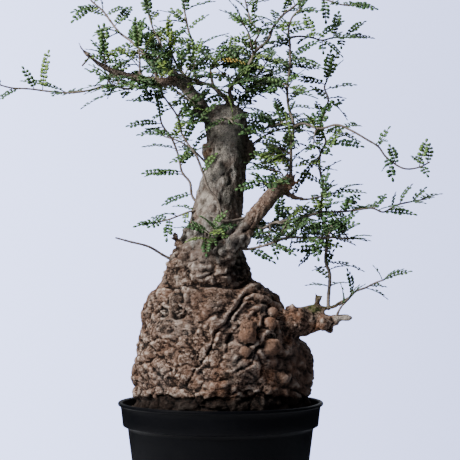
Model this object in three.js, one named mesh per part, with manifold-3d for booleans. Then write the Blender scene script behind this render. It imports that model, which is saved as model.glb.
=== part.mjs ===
// Operculicarya pachypus bonsai growing in a black plastic nursery pot.
// Millimetres, +Z up, +X to the viewer's right, +Y away from the viewer.
// The origin is the centre of the pot's flat base.

import * as THREE from "three";
import { mergeVertices } from "three/addons/utils/BufferGeometryUtils.js";
import Module from "manifold-3d";

const wasm = await Module();
wasm.setup();

// Pot: a thin moulding, 160 across its rolled lip.
const LIP_RADIUS = 80;
const POT_HEIGHT = 131.5;
const LIP_HEIGHT = 3;
const COLLAR_TOP_RADIUS = 78.1;
const COLLAR_FOOT_RADIUS = 76.3;
const COLLAR_HEIGHT = 20;
const WALL_TOP_RADIUS = 72.5;
const BASE_RADIUS = 58.2;
const WALL = 1.6;
const FLOOR = 2.6;
const EDGE = 1;
const STEP_RISE = 1.5;
const POT_SEGMENTS = 32;
const DRAIN_HOLES = 6;
const DRAIN_SIDES = 8;
const DRAIN_RADIUS = 5;
const DRAIN_CIRCLE_RADIUS = 40;

// Potting mix, and the gap that touching pieces keep.
const GAP = 0.3;
const SOIL_TOP = 123.5;
const SOIL_GRAIN = 0.55;
const SOIL_RING = 8;
const SOIL_CLEARANCE = 2 * GAP;

// Waves in the mix's top: how many run round it, and how far one turns for each mm outwards.
const SOIL_WAVES = [
  [19, 1],
  [31, -2],
];

// Leaves: a rib with small leaflets in pairs, cut to the rib, in one thin arched blade.
const BLADE = 0.7;
const RIB_HALF_WIDTH = 0.5;
const LEAFLET_REACH = 3.4;
const LEAFLET_PAIRS = 3;
const LEAFLET_LEAN = 0.55;
const LEAFLET_TAPER = 0.08;
const BARE_SHARE = 0.24;
const TIP_SHARE = 0.4;
const RISE_SHARE = 0.24;
const LEAF_FOLD = 0.2;
const LEAF_FACING = new THREE.Vector3(0, -0.5, 0.85);
const LAST_FOOT = 0.98;

// Routes are written as seen from the front: x and z in the plane through the pot's axis, then depth.
// The viewer stands this far in front of the axis, at this place.
const VIEWER_DISTANCE = 1404;
const VIEWER_X = 7;
const VIEWER_Z = 265;

// Limbs and twigs: length of one row of faces, and a direction that none of them starts along.
const LIMB_STEP = 15;
const ACROSS = new THREE.Vector3(0.31, -0.8, 0.52);

// Twigs that start over this radius have more sides than thinner ones.
const THICK_TWIG = 1.05;
const THICK_TWIG_SIDES = 4;
const THIN_TWIG_SIDES = 3;
const COLLAR_SIDES = 4;
const COLLAR_SWELL = 1.25;
const STEM_GAP = 1.6 * GAP;

const COLOURS = {
  pot: { color: 0x14171b, roughness: 0.42, metalness: 0 },
  soil: { color: 0x2b221c, roughness: 0.95, metalness: 0 },
  wood: { color: 0x7c675a, roughness: 0.85, metalness: 0 },
  foliage: { color: 0x33522e, roughness: 0.5, metalness: 0 },
};

// Swollen base and trunk, from the crown down: height, left edge, right edge and half depth.
const BODY_SECTIONS = [
  [363, -1, 11, 6],
  [359, -9, 17, 12],
  [351, -12, 20, 15],
  [340, -11, 22, 15.5],
  [327, -9, 22, 15.5],
  [314, -12, 20, 16],
  [304, -15, 19, 17],
  [290, -19, 18, 18.5],
  [276, -23, 17, 21],
  [262, -28, 15.5, 24],
  [251, -35, 13, 28],
  [243, -40, 18.5, 32],
  [235, -44, 22, 36],
  [228, -46, 26.5, 39],
  [222, -50, 34, 42],
  [215, -55, 43, 47],
  [206, -58, 49, 51],
  [198, -61, 54, 54],
  [188, -63, 60, 57],
  [177, -65, 65, 60],
  [166, -67.5, 69, 62],
  [154, -68, 71.5, 63],
  [142, -68, 72, 62],
  [132, -67, 70.5, 61],
  [126, -66, 68, 60],
];
const BODY_SIDES = 30;
const BODY_ROWS = 34;

// Root crown, buried and plain: height, left edge, right edge and half depth.
const ROOT_SECTIONS = [
  [126, -66, 68, 60],
  [112, -61, 62, 55],
  [98, -50, 50, 46],
  [86, -34, 34, 32],
  [80, -14, 14, 13],
];
const ROOT_ROWS = 3;

// Relief of the bark: where it fades in above the mix, where it is full, and where the trunk's is thin.
const RELIEF_FOOT = 128;
const RELIEF_FULL = 144;
const THICK_BARK = 220;
const THIN_BARK = 300;
const THIN_SHARE = 0.2;
const LUMP = 1.25;
const FOLD_HEIGHT = 225;
const FOLD_SPREAD = 5;
const FOLD_DEPTH = 4.5;

// Sets of ridges: how many run round the tree, and how far one climbs as it winds by a radian.
const RIDGES = [
  [5, 12],
  [9, 8],
  [4, -7],
];

// Thick limbs that are one with the trunk: route and evenly spaced radii.
const LIMBS = {
  right: {
    route: [
      [-1, 240, -25], [5, 248, -31], [12, 257, -29], [20, 267, -24], [30, 280, -19], [42, 294, -17],
      [55, 305, -16],
    ],
    radii: [7, 8.6, 7.4, 6.4, 6.7, 6.4, 5.4],
    sides: 8,
  },
  rightStub: {
    route: [[48, 296, -15], [56, 291, -18], [65, 289, -21]],
    radii: [3, 2.3, 1.6],
    sides: 6,
  },
  topLeft: {
    route: [
      [0, 345, -2], [-12, 356, -5], [-23, 372, -8], [-31, 380, -10], [-38, 387, -12], [-48, 395, -14],
    ],
    radii: [7.5, 6.2, 5, 4.4, 3.2, 2],
    sides: 7,
  },
  antler: {
    route: [
      [-30, 381, -10], [-55, 381, -16], [-71, 385, -20], [-85, 389, -24], [-98, 397, -28],
      [-108, 406, -31], [-111, 412, -32],
    ],
    radii: [4, 3.5, 2.8, 2.6, 2, 1.4, 0.7],
    sides: 6,
  },
  antlerPeg: {
    route: [[-103, 399, -29], [-108, 393, -30]],
    radii: [0.9, 0.7],
    sides: 4,
  },
  crownFork: {
    route: [[11, 353, 0], [6, 366, 4], [-1, 372, 6], [-6, 377, 7], [-20, 381, 9]],
    radii: [3.6, 2.6, 2.1, 1.8, 1.4],
    sides: 6,
  },
  crownPeg: {
    route: [[-5, 375, 7], [-7, 383, 8], [-8, 390, 8]],
    radii: [1.4, 1.1, 0.9],
    sides: 5,
  },
  knob: {
    route: [
      [38, 190, -14], [52, 193, -16], [66, 193, -18], [74, 194, -20], [83, 193.5, -22], [91, 196, -23],
      [100, 197.5, -24],
    ],
    radii: [13, 13, 11.5, 9.2, 6, 3.6, 2.5],
    sides: 9,
  },
  knobPeg: {
    route: [[74, 203, -19], [77, 214, -20]],
    radii: [2.6, 1.7],
    sides: 6,
  },
  mossyLimb: {
    route: [[58, 200, -15], [74, 205, -18], [82, 204, -19], [90, 206, -20], [97, 210, -21]],
    radii: [4, 2.7, 2.2, 1.9, 1.4],
    sides: 6,
  },
  barrenTwig: {
    route: [[-32, 239, -14], [-44, 245, -17], [-56, 252, -22], [-71, 256, -28], [-82, 259, -31]],
    radii: [1.4, 1, 0.9, 0.8, 0.6],
    sides: 5,
  },
  crossingTwig: {
    route: [[25, 277, -20], [17, 274, -26], [4, 272, -29], [-8, 276, -28]],
    radii: [1.3, 1, 0.9, 0.7],
    sides: 5,
  },
  leftStump: {
    route: [[-28, 250, -14], [-34, 254, -15], [-37, 261, -16]],
    radii: [3.4, 2.4, 0.9],
    sides: 6,
  },
  leftPeg: {
    route: [[-23, 258, -8], [-29, 265, -10]],
    radii: [1.7, 0.9],
    sides: 5,
  },
  limbPeg: {
    route: [[37, 290, -15], [38, 303, -16]],
    radii: [1.9, 1.2],
    sides: 5,
  },
};

// Round burls and warts on the wood: centre and half sizes.
const BURLS = [
  [[20, 326, -3], [7, 7, 9]],
  [[-9, 326, -4], [5, 6, 8]],
  [[39, 178, -47], [8, 7, 8]],
  [[21, 189, -50], [7, 7, 10]],
];

// Knot hollows in the base: centre and half sizes.
const HOLLOWS = [
  [[-32, 202, -46], [6, 6, 6]],
  [[-44, 202, -38], [4, 5, 5]],
];

// Leafy stems: what each grows from, its route, its thickness at both ends and its leaves.
// A route starts inside its parent and leaves it before the second point.
// A tip is where on the stem a leaf grows, as a share of its length, and where the leaf ends.
const STEMS = {
  leftLong: {
    parent: "wood",
    route: [
      [-15, 379, 8], [-24, 379, 11], [-33, 378, 13], [-47, 381, 15], [-63, 379, 16], [-72, 375, 16],
      [-87, 378, 15], [-102, 374, 13], [-117, 372, 10], [-133, 373, 7], [-149, 375, 4], [-164, 376, 1],
      [-178, 380, -2],
    ],
    radii: [1.2, 0.6],
    tips: [
      [0.42, -108, 360, 10], [0.68, -155, 381, 10], [0.78, -134, 404, 4], [0.88, -172, 367, 0],
      [0.96, -179, 391, -4],
    ],
  },
  upperLeft: {
    parent: "wood",
    route: [
      [-50, 379, -15], [-51, 388, -12], [-55, 397, -8], [-62, 405, -3], [-71, 413, 3], [-79, 419, 8],
      [-86, 428, 13], [-92, 436, 17], [-101, 444, 20], [-106, 452, 21], [-113, 462, 22],
    ],
    radii: [1.2, 0.6],
    tips: [
      [0.42, -60, 429, 4], [0.55, -98, 417, 0], [0.66, -74, 438, 16], [0.74, -115, 435, 8],
      [0.92, -124, 450, 18], [1, -117, 480, 22],
    ],
  },
  antlerShoot: {
    parent: "wood",
    route: [[-63, 383, -18], [-63, 388, -18], [-63, 397, -19], [-64, 407, -20]],
    radii: [0.9, 0.6],
    tips: [[0.6, -80, 405, -22], [1, -60, 428, -24]],
  },
  antlerSpray: {
    parent: "wood",
    route: [[-90, 391, -26], [-90, 396, -27], [-91, 402, -28]],
    radii: [0.8, 0.6],
    tips: [[0.9, -91, 424, -34], [1, -100, 412, -24]],
  },
  crownUpright: {
    parent: "wood",
    route: [
      [-18, 380, 9], [-20, 386, 10], [-22, 398, 12], [-21, 408, 14], [-25, 420, 16], [-27, 430, 17],
      [-29, 440, 18], [-31, 452, 20], [-33, 462, 22],
    ],
    radii: [1.1, 0.6],
    tips: [
      [0.2, -2, 401, 6], [0.34, 5, 418, 8], [0.6, -46, 436, 10], [0.7, -6, 443, 18], [1, -35, 480, 24],
    ],
  },
  youngShoot: {
    parent: "wood",
    route: [
      [-17, 381, 8], [-26, 384, 3], [-32, 390, -1], [-37, 400, -5], [-40, 409, -8], [-40, 416, -10],
    ],
    radii: [1.2, 0.6],
    tips: [[0.6, -54, 398, -2], [0.8, -49, 417, -14], [1, -41, 430, -14]],
  },
  crownRising: {
    parent: "wood",
    route: [
      [9, 355, -3], [9, 366, -6], [7, 374, -8], [14, 384, -8], [22, 394, -6], [27, 404, -2],
      [37, 413, 4], [41, 423, 8], [49, 433, 11], [57, 439, 13], [71, 451, 15], [80, 460, 17],
    ],
    radii: [1.7, 0.7],
    tips: [
      [0.26, 36, 380, -16], [0.36, 0, 397, -16], [0.42, 38, 399, -14], [0.66, 26, 432, -6],
      [0.8, 47, 452, 16], [1, 92, 476, 20],
    ],
  },
  crownInner: {
    parent: "crownRising",
    route: [
      [28, 406, -1], [27, 412, 2], [30, 419, 5], [24, 427, 9], [21, 437, 12], [18, 449, 15],
      [16, 460, 17],
    ],
    radii: [0.9, 0.6],
    tips: [[0.5, 8, 430, 16], [0.7, 36, 444, 20], [1, 14, 478, 20]],
  },
  crownShoot: {
    parent: "crownRising",
    route: [[26, 400, -3], [24, 409, -8], [22, 418, -13], [17, 427, -17]],
    radii: [0.8, 0.6],
    tips: [[0.8, 34, 430, -26], [1, 1, 436, -22]],
  },
  topRight: {
    parent: "crownRising",
    route: [[70, 450, 15], [76, 447, 12], [84, 444, 9], [93, 441, 6], [100, 440, 4]],
    radii: [0.8, 0.6],
    tips: [[0.4, 82, 428, 6], [0.6, 92, 460, 2], [1, 118, 439, 0]],
  },
  tallRight: {
    parent: "wood",
    route: [
      [54, 300, -16], [55, 314, -16], [55, 330, -15], [57, 347, -14], [53, 361, -12], [52, 376, -10],
      [54, 391, -9], [54, 411, -8], [53, 421, -8], [56, 431, -9], [63, 438, -10],
    ],
    radii: [1.3, 0.7],
    tips: [
      [0.1, 80, 318, -24], [0.27, 76, 340, -8], [0.47, 74, 368, -18], [0.55, 32, 374, -18],
      [0.64, 79, 391, -14], [0.7, 32, 402, -4], [0.86, 34, 424, -16], [0.95, 78, 436, -20],
      [1, 66, 458, -14],
    ],
  },
  tallLeftSpray: {
    parent: "tallRight",
    route: [[57, 348, -14], [50, 348, -18], [44, 347, -22], [37, 345, -26]],
    radii: [0.8, 0.6],
    tips: [[0.5, 43, 364, -34], [0.75, 26, 358, -30], [1, 16, 340, -34]],
  },
  tallRightSpray: {
    parent: "tallRight",
    route: [[54, 415, -8], [61, 416, -4], [71, 415, 1], [79, 413, 5], [88, 415, 9], [98, 415, 13]],
    radii: [0.8, 0.6],
    tips: [[0.45, 66, 432, 10], [0.6, 94, 401, 4], [0.8, 92, 434, 14], [1, 112, 427, 18]],
  },
  farRight: {
    parent: "tallRight",
    route: [
      [57, 345, -14], [64, 348, -18], [77, 344, -24], [91, 347, -30], [103, 342, -34], [115, 335, -37],
      [123, 330, -38], [129, 322, -38], [143, 313, -37], [155, 314, -36], [163, 318, -35],
    ],
    radii: [1, 0.6],
    tips: [
      [0.2, 86, 364, -26], [0.34, 82, 326, -34], [0.6, 131, 344, -40], [0.7, 134, 305, -42],
      [0.76, 132, 330, -32], [0.92, 161, 308, -42], [1, 163, 331, -30],
    ],
  },
  knobUpright: {
    parent: "wood",
    route: [
      [84, 203, -19], [84, 211, -17], [85, 231, -12], [82, 240, -9], [83, 257, -5], [81, 270, -3],
      [78, 282, -1], [80, 296, 1], [77, 316, 3], [78, 325, 4], [82, 334, 5], [78, 345, 6],
      [81, 357, 8], [84, 367, 9], [81, 376, 10], [83, 382, 11],
    ],
    radii: [1.4, 0.7],
    tips: [
      [0.1, 98, 224, -2], [0.2, 111, 233, 0], [0.26, 62, 238, 2], [0.42, 56, 260, 8],
      [0.58, 56, 290, 12], [0.72, 108, 334, 4], [0.86, 98, 352, 20], [0.92, 104, 378, 6],
      [0.96, 62, 382, 20], [1, 86, 404, 14],
    ],
  },
  knobMossy: {
    parent: "wood",
    route: [
      [92, 207, -20], [99, 211, -22], [105, 217, -23], [113, 220, -25], [121, 224, -27],
      [127, 226, -28],
    ],
    radii: [1.1, 0.6],
    tips: [[0.3, 99, 233, -28], [0.6, 129, 212, -22], [1, 141, 234, -32]],
  },
  knobBranchlet: {
    parent: "wood",
    route: [[90, 197, -23], [94, 205, -29], [100, 211, -33]],
    radii: [0.9, 0.6],
    tips: [[0.6, 94, 222, -38], [1, 107, 221, -40]],
  },
  limbLong: {
    parent: "wood",
    route: [
      [24, 273, -22], [32, 266, -24], [40, 270, -23], [54, 273, -26], [66, 275, -27], [78, 279, -28],
      [88, 279, -28], [102, 280, -27], [118, 282, -26], [127, 279, -25], [136, 284, -24],
      [148, 287, -22], [159, 289, -20],
    ],
    radii: [1.1, 0.6],
    tips: [
      [0.2, 48, 290, -40], [0.28, 66, 256, -18], [0.38, 94, 287, -36], [0.46, 90, 266, -22],
      [0.56, 101, 290, -20], [0.68, 128, 292, -18], [0.74, 151, 277, -28], [0.82, 136, 293, -30],
      [0.93, 159, 297, -24], [1, 171, 293, -18],
    ],
  },
  limbLow: {
    parent: "wood",
    route: [
      [10, 253, -28], [19, 250, -31], [31, 252, -31], [41, 255, -31], [52, 259, -33], [62, 259, -35],
      [78, 259, -36], [89, 259, -36], [100, 258, -35],
    ],
    radii: [1.1, 0.6],
    tips: [
      [0.15, 41, 240, -34], [0.35, 57, 246, -38], [0.5, 70, 271, -46], [0.7, 76, 243, -40],
      [0.85, 98, 269, -42], [1, 115, 257, -34],
    ],
  },
  limbStubSpray: {
    parent: "wood",
    route: [[62, 289, -20], [68, 289, -22], [78, 291, -20], [88, 294, -17]],
    radii: [0.9, 0.6],
    tips: [[0.7, 84, 312, -22], [1, 112, 294, -12]],
  },
  trunkLeft: {
    parent: "wood",
    route: [
      [-12, 280, 2], [-22, 291, 3], [-24, 302, 4], [-30, 310, 6], [-33, 323, 8], [-38, 336, 10],
      [-46, 348, 12], [-48, 361, 13], [-50, 371, 12],
    ],
    radii: [1.1, 0.7],
    tips: [
      [0.15, -44, 285, 2], [0.35, -60, 309, 4], [0.42, -20, 330, 14], [0.55, -60, 330, 16],
      [0.75, -72, 346, 8], [0.9, -72, 366, 20],
    ],
  },
  trunkFront: {
    parent: "wood",
    route: [
      [3, 269, -17], [1, 277, -25], [-3, 289, -26], [-10, 298, -25], [-14, 310, -23], [-19, 323, -21],
      [-26, 333, -19], [-31, 342, -18], [-34, 354, -17], [-40, 363, -18], [-45, 370, -20],
    ],
    radii: [1.1, 0.7],
    tips: [
      [0.5, -38, 318, -30], [0.66, -64, 339, -22], [0.74, -10, 350, -32], [0.86, -24, 372, -32],
      [1, -66, 366, -26],
    ],
  },
  trunkLow: {
    parent: "wood",
    route: [[-12, 281, -8], [-22, 280, -11], [-33, 276, -14], [-41, 273, -16], [-50, 271, -18]],
    radii: [0.8, 0.6],
    tips: [[0.7, -42, 258, -22], [1, -66, 268, -22]],
  },
  crotchSpray: {
    parent: "wood",
    route: [[-10, 262, -18], [-12, 262, -26], [-10, 258, -31]],
    radii: [0.9, 0.6],
    tips: [[0.9, -11, 246, -42], [1, -26, 256, -42]],
  },
  crownFront: {
    parent: "wood",
    route: [[2, 346, -8], [2, 350, -19], [6, 352, -28], [10, 348, -36]],
    radii: [1, 0.6],
    tips: [[0.6, -14, 342, -32], [0.8, 24, 354, -38], [1, 4, 372, -46]],
  },
  limbTopFront: {
    parent: "wood",
    route: [[-24, 372, -9], [-22, 377, -17], [-28, 384, -30], [-36, 388, -42], [-42, 390, -52]],
    radii: [1, 0.6],
    tips: [[0.5, -6, 386, -34], [0.7, -52, 396, -40], [1, -56, 388, -72]],
  },
  limbTopBranch: {
    parent: "wood",
    route: [[-42, 389, -13], [-48, 397, -12], [-46, 408, -6], [-52, 420, 0], [-56, 432, 4]],
    radii: [1, 0.6],
    tips: [[0.5, -32, 412, 4], [0.7, -70, 428, -8], [1, -60, 452, 6]],
  },
  backCrown: {
    parent: "wood",
    route: [[8, 350, 4], [10, 356, 18], [16, 366, 30], [24, 376, 44], [30, 388, 58], [36, 396, 74]],
    radii: [1.3, 0.6],
    tips: [
      [0.35, 34, 372, 20], [0.6, 46, 380, 52], [0.75, 14, 400, 54], [0.9, 54, 390, 84],
      [1, 40, 406, 98],
    ],
  },
  backLeft: {
    parent: "wood",
    route: [
      [-4, 346, 5], [-10, 352, 18], [-20, 362, 32], [-30, 370, 48], [-42, 380, 62], [-50, 390, 74],
    ],
    radii: [1.3, 0.6],
    tips: [[0.35, -8, 378, 36], [0.45, -42, 362, 36], [0.85, -40, 404, 76], [1, -58, 402, 98]],
  },
  backMiddle: {
    parent: "wood",
    route: [[-4, 312, 8], [-10, 316, 20], [-20, 326, 36], [-32, 334, 50], [-44, 338, 66]],
    radii: [1.1, 0.6],
    tips: [[0.55, -8, 342, 46], [0.85, -30, 352, 66], [1, -58, 344, 88]],
  },
  backRight: {
    parent: "wood",
    route: [[10, 320, 8], [18, 326, 20], [30, 336, 34], [42, 342, 48], [56, 346, 62]],
    radii: [1.1, 0.6],
    tips: [[0.6, 22, 352, 44], [0.85, 60, 332, 50], [1, 74, 352, 78]],
  },
  backLow: {
    parent: "wood",
    route: [[4, 262, 12], [14, 262, 28], [28, 262, 42], [42, 264, 54], [56, 268, 64]],
    radii: [1.1, 0.6],
    tips: [[0.6, 30, 250, 60], [0.8, 62, 280, 50], [1, 74, 264, 84]],
  },
};

// A point seen at x and z in the plane through the pot's axis, carried back along the line of sight.
function seen([x, z, depth]) {
  const spread = 1 + depth / VIEWER_DISTANCE;
  return new THREE.Vector3(
    VIEWER_X + (x - VIEWER_X) * spread,
    depth,
    VIEWER_Z + (z - VIEWER_Z) * spread,
  );
}

// A geometry's closed surface as a solid, with shared corners merged and empty faces dropped.
function solidOf(geometry) {
  const bare = geometry.clone();
  bare.deleteAttribute("normal");
  bare.deleteAttribute("uv");
  const merged = mergeVertices(bare, 1e-4);
  const corners = merged.index.array;
  const kept = [];
  for (let i = 0; i < corners.length; i += 3) {
    const [a, b, c] = corners.slice(i, i + 3);
    if (a !== b && b !== c && c !== a) kept.push(a, b, c);
  }
  return new wasm.Manifold(
    new wasm.Mesh({
      numProp: 3,
      vertProperties: merged.attributes.position.array,
      triVerts: new Uint32Array(kept),
    }),
  );
}

function geometryOf(solid) {
  const { numProp, vertProperties, triVerts } = solid.getMesh();
  const positions = [];
  for (let i = 0; i < vertProperties.length; i += numProp) {
    positions.push(vertProperties[i], vertProperties[i + 1], vertProperties[i + 2]);
  }
  const geometry = new THREE.BufferGeometry();
  geometry.setAttribute("position", new THREE.Float32BufferAttribute(positions, 3));
  geometry.setIndex(new THREE.BufferAttribute(triVerts, 1));
  geometry.computeVertexNormals();
  return geometry;
}

function joined(solids) {
  return solids.reduce((sum, solid) => sum.add(solid));
}

// Moves every corner of a geometry to a new place.
function reshaped(geometry, moved) {
  const position = geometry.attributes.position;
  for (let i = 0; i < position.count; i++) {
    const corner = new THREE.Vector3().fromBufferAttribute(position, i);
    const { x, y, z } = moved(corner);
    position.setXYZ(i, x, y, z);
  }
  return geometry;
}

// A closed turned body from a profile of radius and height pairs.
function turned(profile, segments) {
  const points = profile.map(([radius, height]) => new THREE.Vector2(radius, height));
  return new THREE.LatheGeometry(points, segments).rotateX(Math.PI / 2);
}

// A body through stacked oval sections, widened by grow, with relief given by angle and height.
function lofted(sections, sides, rows, grow, relief) {
  const edges = new THREE.CatmullRomCurve3(
    sections.map(([height, left, right]) => new THREE.Vector3(left, right, height)),
  );
  const depths = new THREE.CatmullRomCurve3(
    sections.map(([height, , , depth]) => new THREE.Vector3(depth, 0, height)),
  );
  const barrel = new THREE.CylinderGeometry(1, 1, 1, sides, rows);
  return reshaped(barrel, (corner) => {
    const along = 0.5 - corner.y;
    const edge = edges.getPoint(along);
    const depth = depths.getPoint(along).x;
    const angle = Math.atan2(corner.z, corner.x);
    const reach = Math.hypot(corner.x, corner.z);
    const swell = reach * (grow + relief(angle, edge.z));
    const middle = (edge.x + edge.y) / 2;
    const halfWidth = (edge.y - edge.x) / 2;
    return new THREE.Vector3(
      middle + corner.x * halfWidth + Math.cos(angle) * swell,
      -(corner.z * depth + Math.sin(angle) * swell),
      edge.z,
    );
  });
}

// Bark relief of the swollen base and trunk. Angle is 0 at the right and a quarter turn at the front.
// Ridges wind up to the right across the front, and a fold hangs over the shoulder there.
function barkRelief(angle, height) {
  const fade = THREE.MathUtils.smoothstep(height, RELIEF_FOOT, RELIEF_FULL);
  const swollen = THREE.MathUtils.smoothstep(height, THIN_BARK, THICK_BARK);
  const girth = THREE.MathUtils.lerp(THIN_SHARE, 1, swollen);
  const waves = RIDGES.map(([count, climb]) => Math.sin(count * angle + height / climb));
  const ridges = waves.reduce((sum, wave) => sum + wave);
  const facing = Math.max(0, Math.sin(angle));
  const fold = FOLD_DEPTH * facing * Math.exp(-(((height - FOLD_HEIGHT) / FOLD_SPREAD) ** 2));
  return fade * (girth * LUMP * ridges - fold);
}

// A tapered round limb along a stretch of a route, from share to share of its length.
function limb(curve, radii, sides, from = 0, to = 1, rows = limbRows(curve, from)) {
  const places = [];
  const across = [];
  for (let row = 0; row <= rows; row++) {
    const share = from + ((to - from) * row) / rows;
    const tangent = curve.getTangent(share);
    const start = row ? across[row - 1].x : ACROSS;
    const x = start.clone().addScaledVector(tangent, -start.dot(tangent)).normalize();
    places.push(curve.getPoint(share));
    across.push({ x, z: new THREE.Vector3().crossVectors(x, tangent) });
  }
  const barrel = new THREE.CylinderGeometry(1, 1, 1, sides, rows);
  return reshaped(barrel, (corner) => {
    const along = corner.y + 0.5;
    const row = Math.round(along * rows);
    const radius = radiusAt(radii, from + (to - from) * along);
    return places[row]
      .clone()
      .addScaledVector(across[row].x, corner.x * radius)
      .addScaledVector(across[row].z, corner.z * radius);
  });
}

function limbRows(curve, from) {
  return Math.ceil((curve.getLength() * (1 - from)) / LIMB_STEP);
}

function radiusAt(radii, share) {
  const place = share * (radii.length - 1);
  const index = Math.min(Math.floor(place), radii.length - 2);
  return THREE.MathUtils.lerp(radii[index], radii[index + 1], place - index);
}

function routeCurve(route) {
  return new THREE.CatmullRomCurve3(route.map(seen));
}

// A flat leaf lying along x: a bare stalk, then pointed leaflets in pairs, each cut to the rib.
function leafOutline(length) {
  const spacing = (length * (1 - BARE_SHARE)) / (LEAFLET_PAIRS + TIP_SHARE);
  const edge = [];
  for (let pair = 0; pair < LEAFLET_PAIRS; pair++) {
    const foot = length * BARE_SHARE + pair * spacing;
    edge.push([foot, RIB_HALF_WIDTH]);
    edge.push([foot + LEAFLET_LEAN * spacing, LEAFLET_REACH * (1 - LEAFLET_TAPER * pair)]);
  }
  const back = edge.map(([along, out]) => [along, -out]).reverse();
  const outline = [[0, 0], ...edge, [length, 0], ...back];
  return new THREE.Shape(outline.map(([along, out]) => new THREE.Vector2(along, out)));
}

// A leaf from its foot to its tip, arched upwards and a little folded along its rib.
function leaf(foot, tip) {
  const span = tip.clone().sub(foot);
  const length = span.length();
  const lift = LEAF_FACING.clone().projectOnPlane(span.clone().normalize()).normalize();
  const middle = foot.clone().lerp(tip, 0.5).addScaledVector(lift, RISE_SHARE * length);
  const rib = new THREE.QuadraticBezierCurve3(foot, middle, tip);
  const flat = new THREE.ExtrudeGeometry(leafOutline(length), {
    depth: BLADE,
    steps: 1,
    bevelEnabled: false,
  });
  return reshaped(flat, (corner) => {
    const along = corner.x / length;
    const side = new THREE.Vector3().crossVectors(lift, rib.getTangent(along)).normalize();
    const raised = corner.z - BLADE / 2 + LEAF_FOLD * Math.abs(corner.y);
    return rib.getPoint(along).addScaledVector(side, corner.y).addScaledVector(lift, raised);
  });
}

// The leaves of one stem, each sunk to the middle of its twig.
function stemLeaves(stem, curve, from) {
  const rows = limbRows(curve, from);
  const rowPlace = (row) => curve.getPoint(from + ((1 - from) * row) / rows);
  return stem.tips.map(([share, ...tip]) => {
    const place = (rows * (Math.min(share, LAST_FOOT) - from)) / (1 - from);
    const row = Math.floor(place);
    const foot = rowPlace(row).lerp(rowPlace(row + 1), place - row);
    return leaf(foot, seen(tip));
  });
}

function pot() {
  const collarFoot = POT_HEIGHT - COLLAR_HEIGHT;
  const lipFoot = POT_HEIGHT - LIP_HEIGHT;
  const profile = [
    [0, 0],
    [BASE_RADIUS - EDGE, 0],
    [BASE_RADIUS, EDGE],
    [WALL_TOP_RADIUS, collarFoot],
    [COLLAR_FOOT_RADIUS, collarFoot + STEP_RISE],
    [COLLAR_TOP_RADIUS, lipFoot],
    [LIP_RADIUS - EDGE / 2, lipFoot],
    [LIP_RADIUS, lipFoot + LIP_HEIGHT / 2],
    [LIP_RADIUS - EDGE, POT_HEIGHT],
    [COLLAR_TOP_RADIUS - WALL, POT_HEIGHT - EDGE / 2],
    [COLLAR_FOOT_RADIUS - WALL, collarFoot + STEP_RISE + EDGE],
    [WALL_TOP_RADIUS - WALL, collarFoot - EDGE],
    [BASE_RADIUS - WALL, FLOOR],
    [0, FLOOR],
  ];
  const drains = [];
  for (let i = 0; i < DRAIN_HOLES; i++) {
    const angle = (2 * Math.PI * (i + 0.5)) / DRAIN_HOLES;
    const drain = new THREE.CylinderGeometry(DRAIN_RADIUS, DRAIN_RADIUS, 4 * FLOOR, DRAIN_SIDES);
    drain.rotateX(Math.PI / 2);
    drain.translate(DRAIN_CIRCLE_RADIUS * Math.cos(angle), DRAIN_CIRCLE_RADIUS * Math.sin(angle), 0);
    drains.push(solidOf(drain));
  }
  return solidOf(turned(profile, POT_SEGMENTS)).subtract(joined(drains));
}

// The mix follows the pot's inner wall, and its top is grained by formula.
function soil() {
  const collarFoot = POT_HEIGHT - COLLAR_HEIGHT;
  const inset = WALL + SOIL_CLEARANCE;
  const topRadius = (COLLAR_TOP_RADIUS + COLLAR_FOOT_RADIUS) / 2 - inset;
  const profile = [
    [0, FLOOR + GAP],
    [BASE_RADIUS - inset, FLOOR + GAP],
    [WALL_TOP_RADIUS - inset, collarFoot - EDGE],
    [COLLAR_FOOT_RADIUS - inset, collarFoot + STEP_RISE + EDGE],
    [topRadius, SOIL_TOP],
    [topRadius - SOIL_RING, SOIL_TOP],
    [0, SOIL_TOP],
  ];
  const body = reshaped(turned(profile, POT_SEGMENTS), (corner) => {
    const reach = Math.hypot(corner.x, corner.y);
    const angle = Math.atan2(corner.y, corner.x);
    const waves = SOIL_WAVES.map(([count, turn]) => Math.sin(count * angle + turn * reach));
    const grain = waves.reduce((sum, wave) => sum + wave);
    if (corner.z > SOIL_TOP - GAP && reach > SOIL_RING) corner.z += SOIL_GRAIN * grain;
    return corner;
  });
  const [neckHeight, ...neck] = ROOT_SECTIONS[0];
  const above = [[POT_HEIGHT, ...neck], [neckHeight, ...neck]];
  const holes = [
    solidOf(lofted(ROOT_SECTIONS, BODY_SIDES, ROOT_ROWS, GAP, () => 0)),
    solidOf(lofted(above, BODY_SIDES, 1, GAP, () => 0)),
  ];
  return solidOf(body).subtract(joined(holes));
}

function egg([centre, halves]) {
  const ball = new THREE.IcosahedronGeometry(1, 1).scale(halves[0], halves[1], halves[2]);
  const [x, z, depth] = centre;
  return ball.translate(x, depth, z);
}

function wood() {
  const trunk = solidOf(lofted(BODY_SECTIONS, BODY_SIDES, BODY_ROWS, 0, barkRelief));
  const roots = solidOf(lofted(ROOT_SECTIONS, BODY_SIDES, ROOT_ROWS, 0, () => 0));
  const parts = Object.values(LIMBS).map(({ route, radii, sides }) =>
    solidOf(limb(routeCurve(route), radii, sides)),
  );
  const burls = BURLS.map((burl) => solidOf(egg(burl)));
  const hollows = HOLLOWS.map((hollow) => solidOf(egg(hollow)));
  return joined([trunk, roots, ...parts, ...burls]).subtract(joined(hollows));
}

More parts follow.
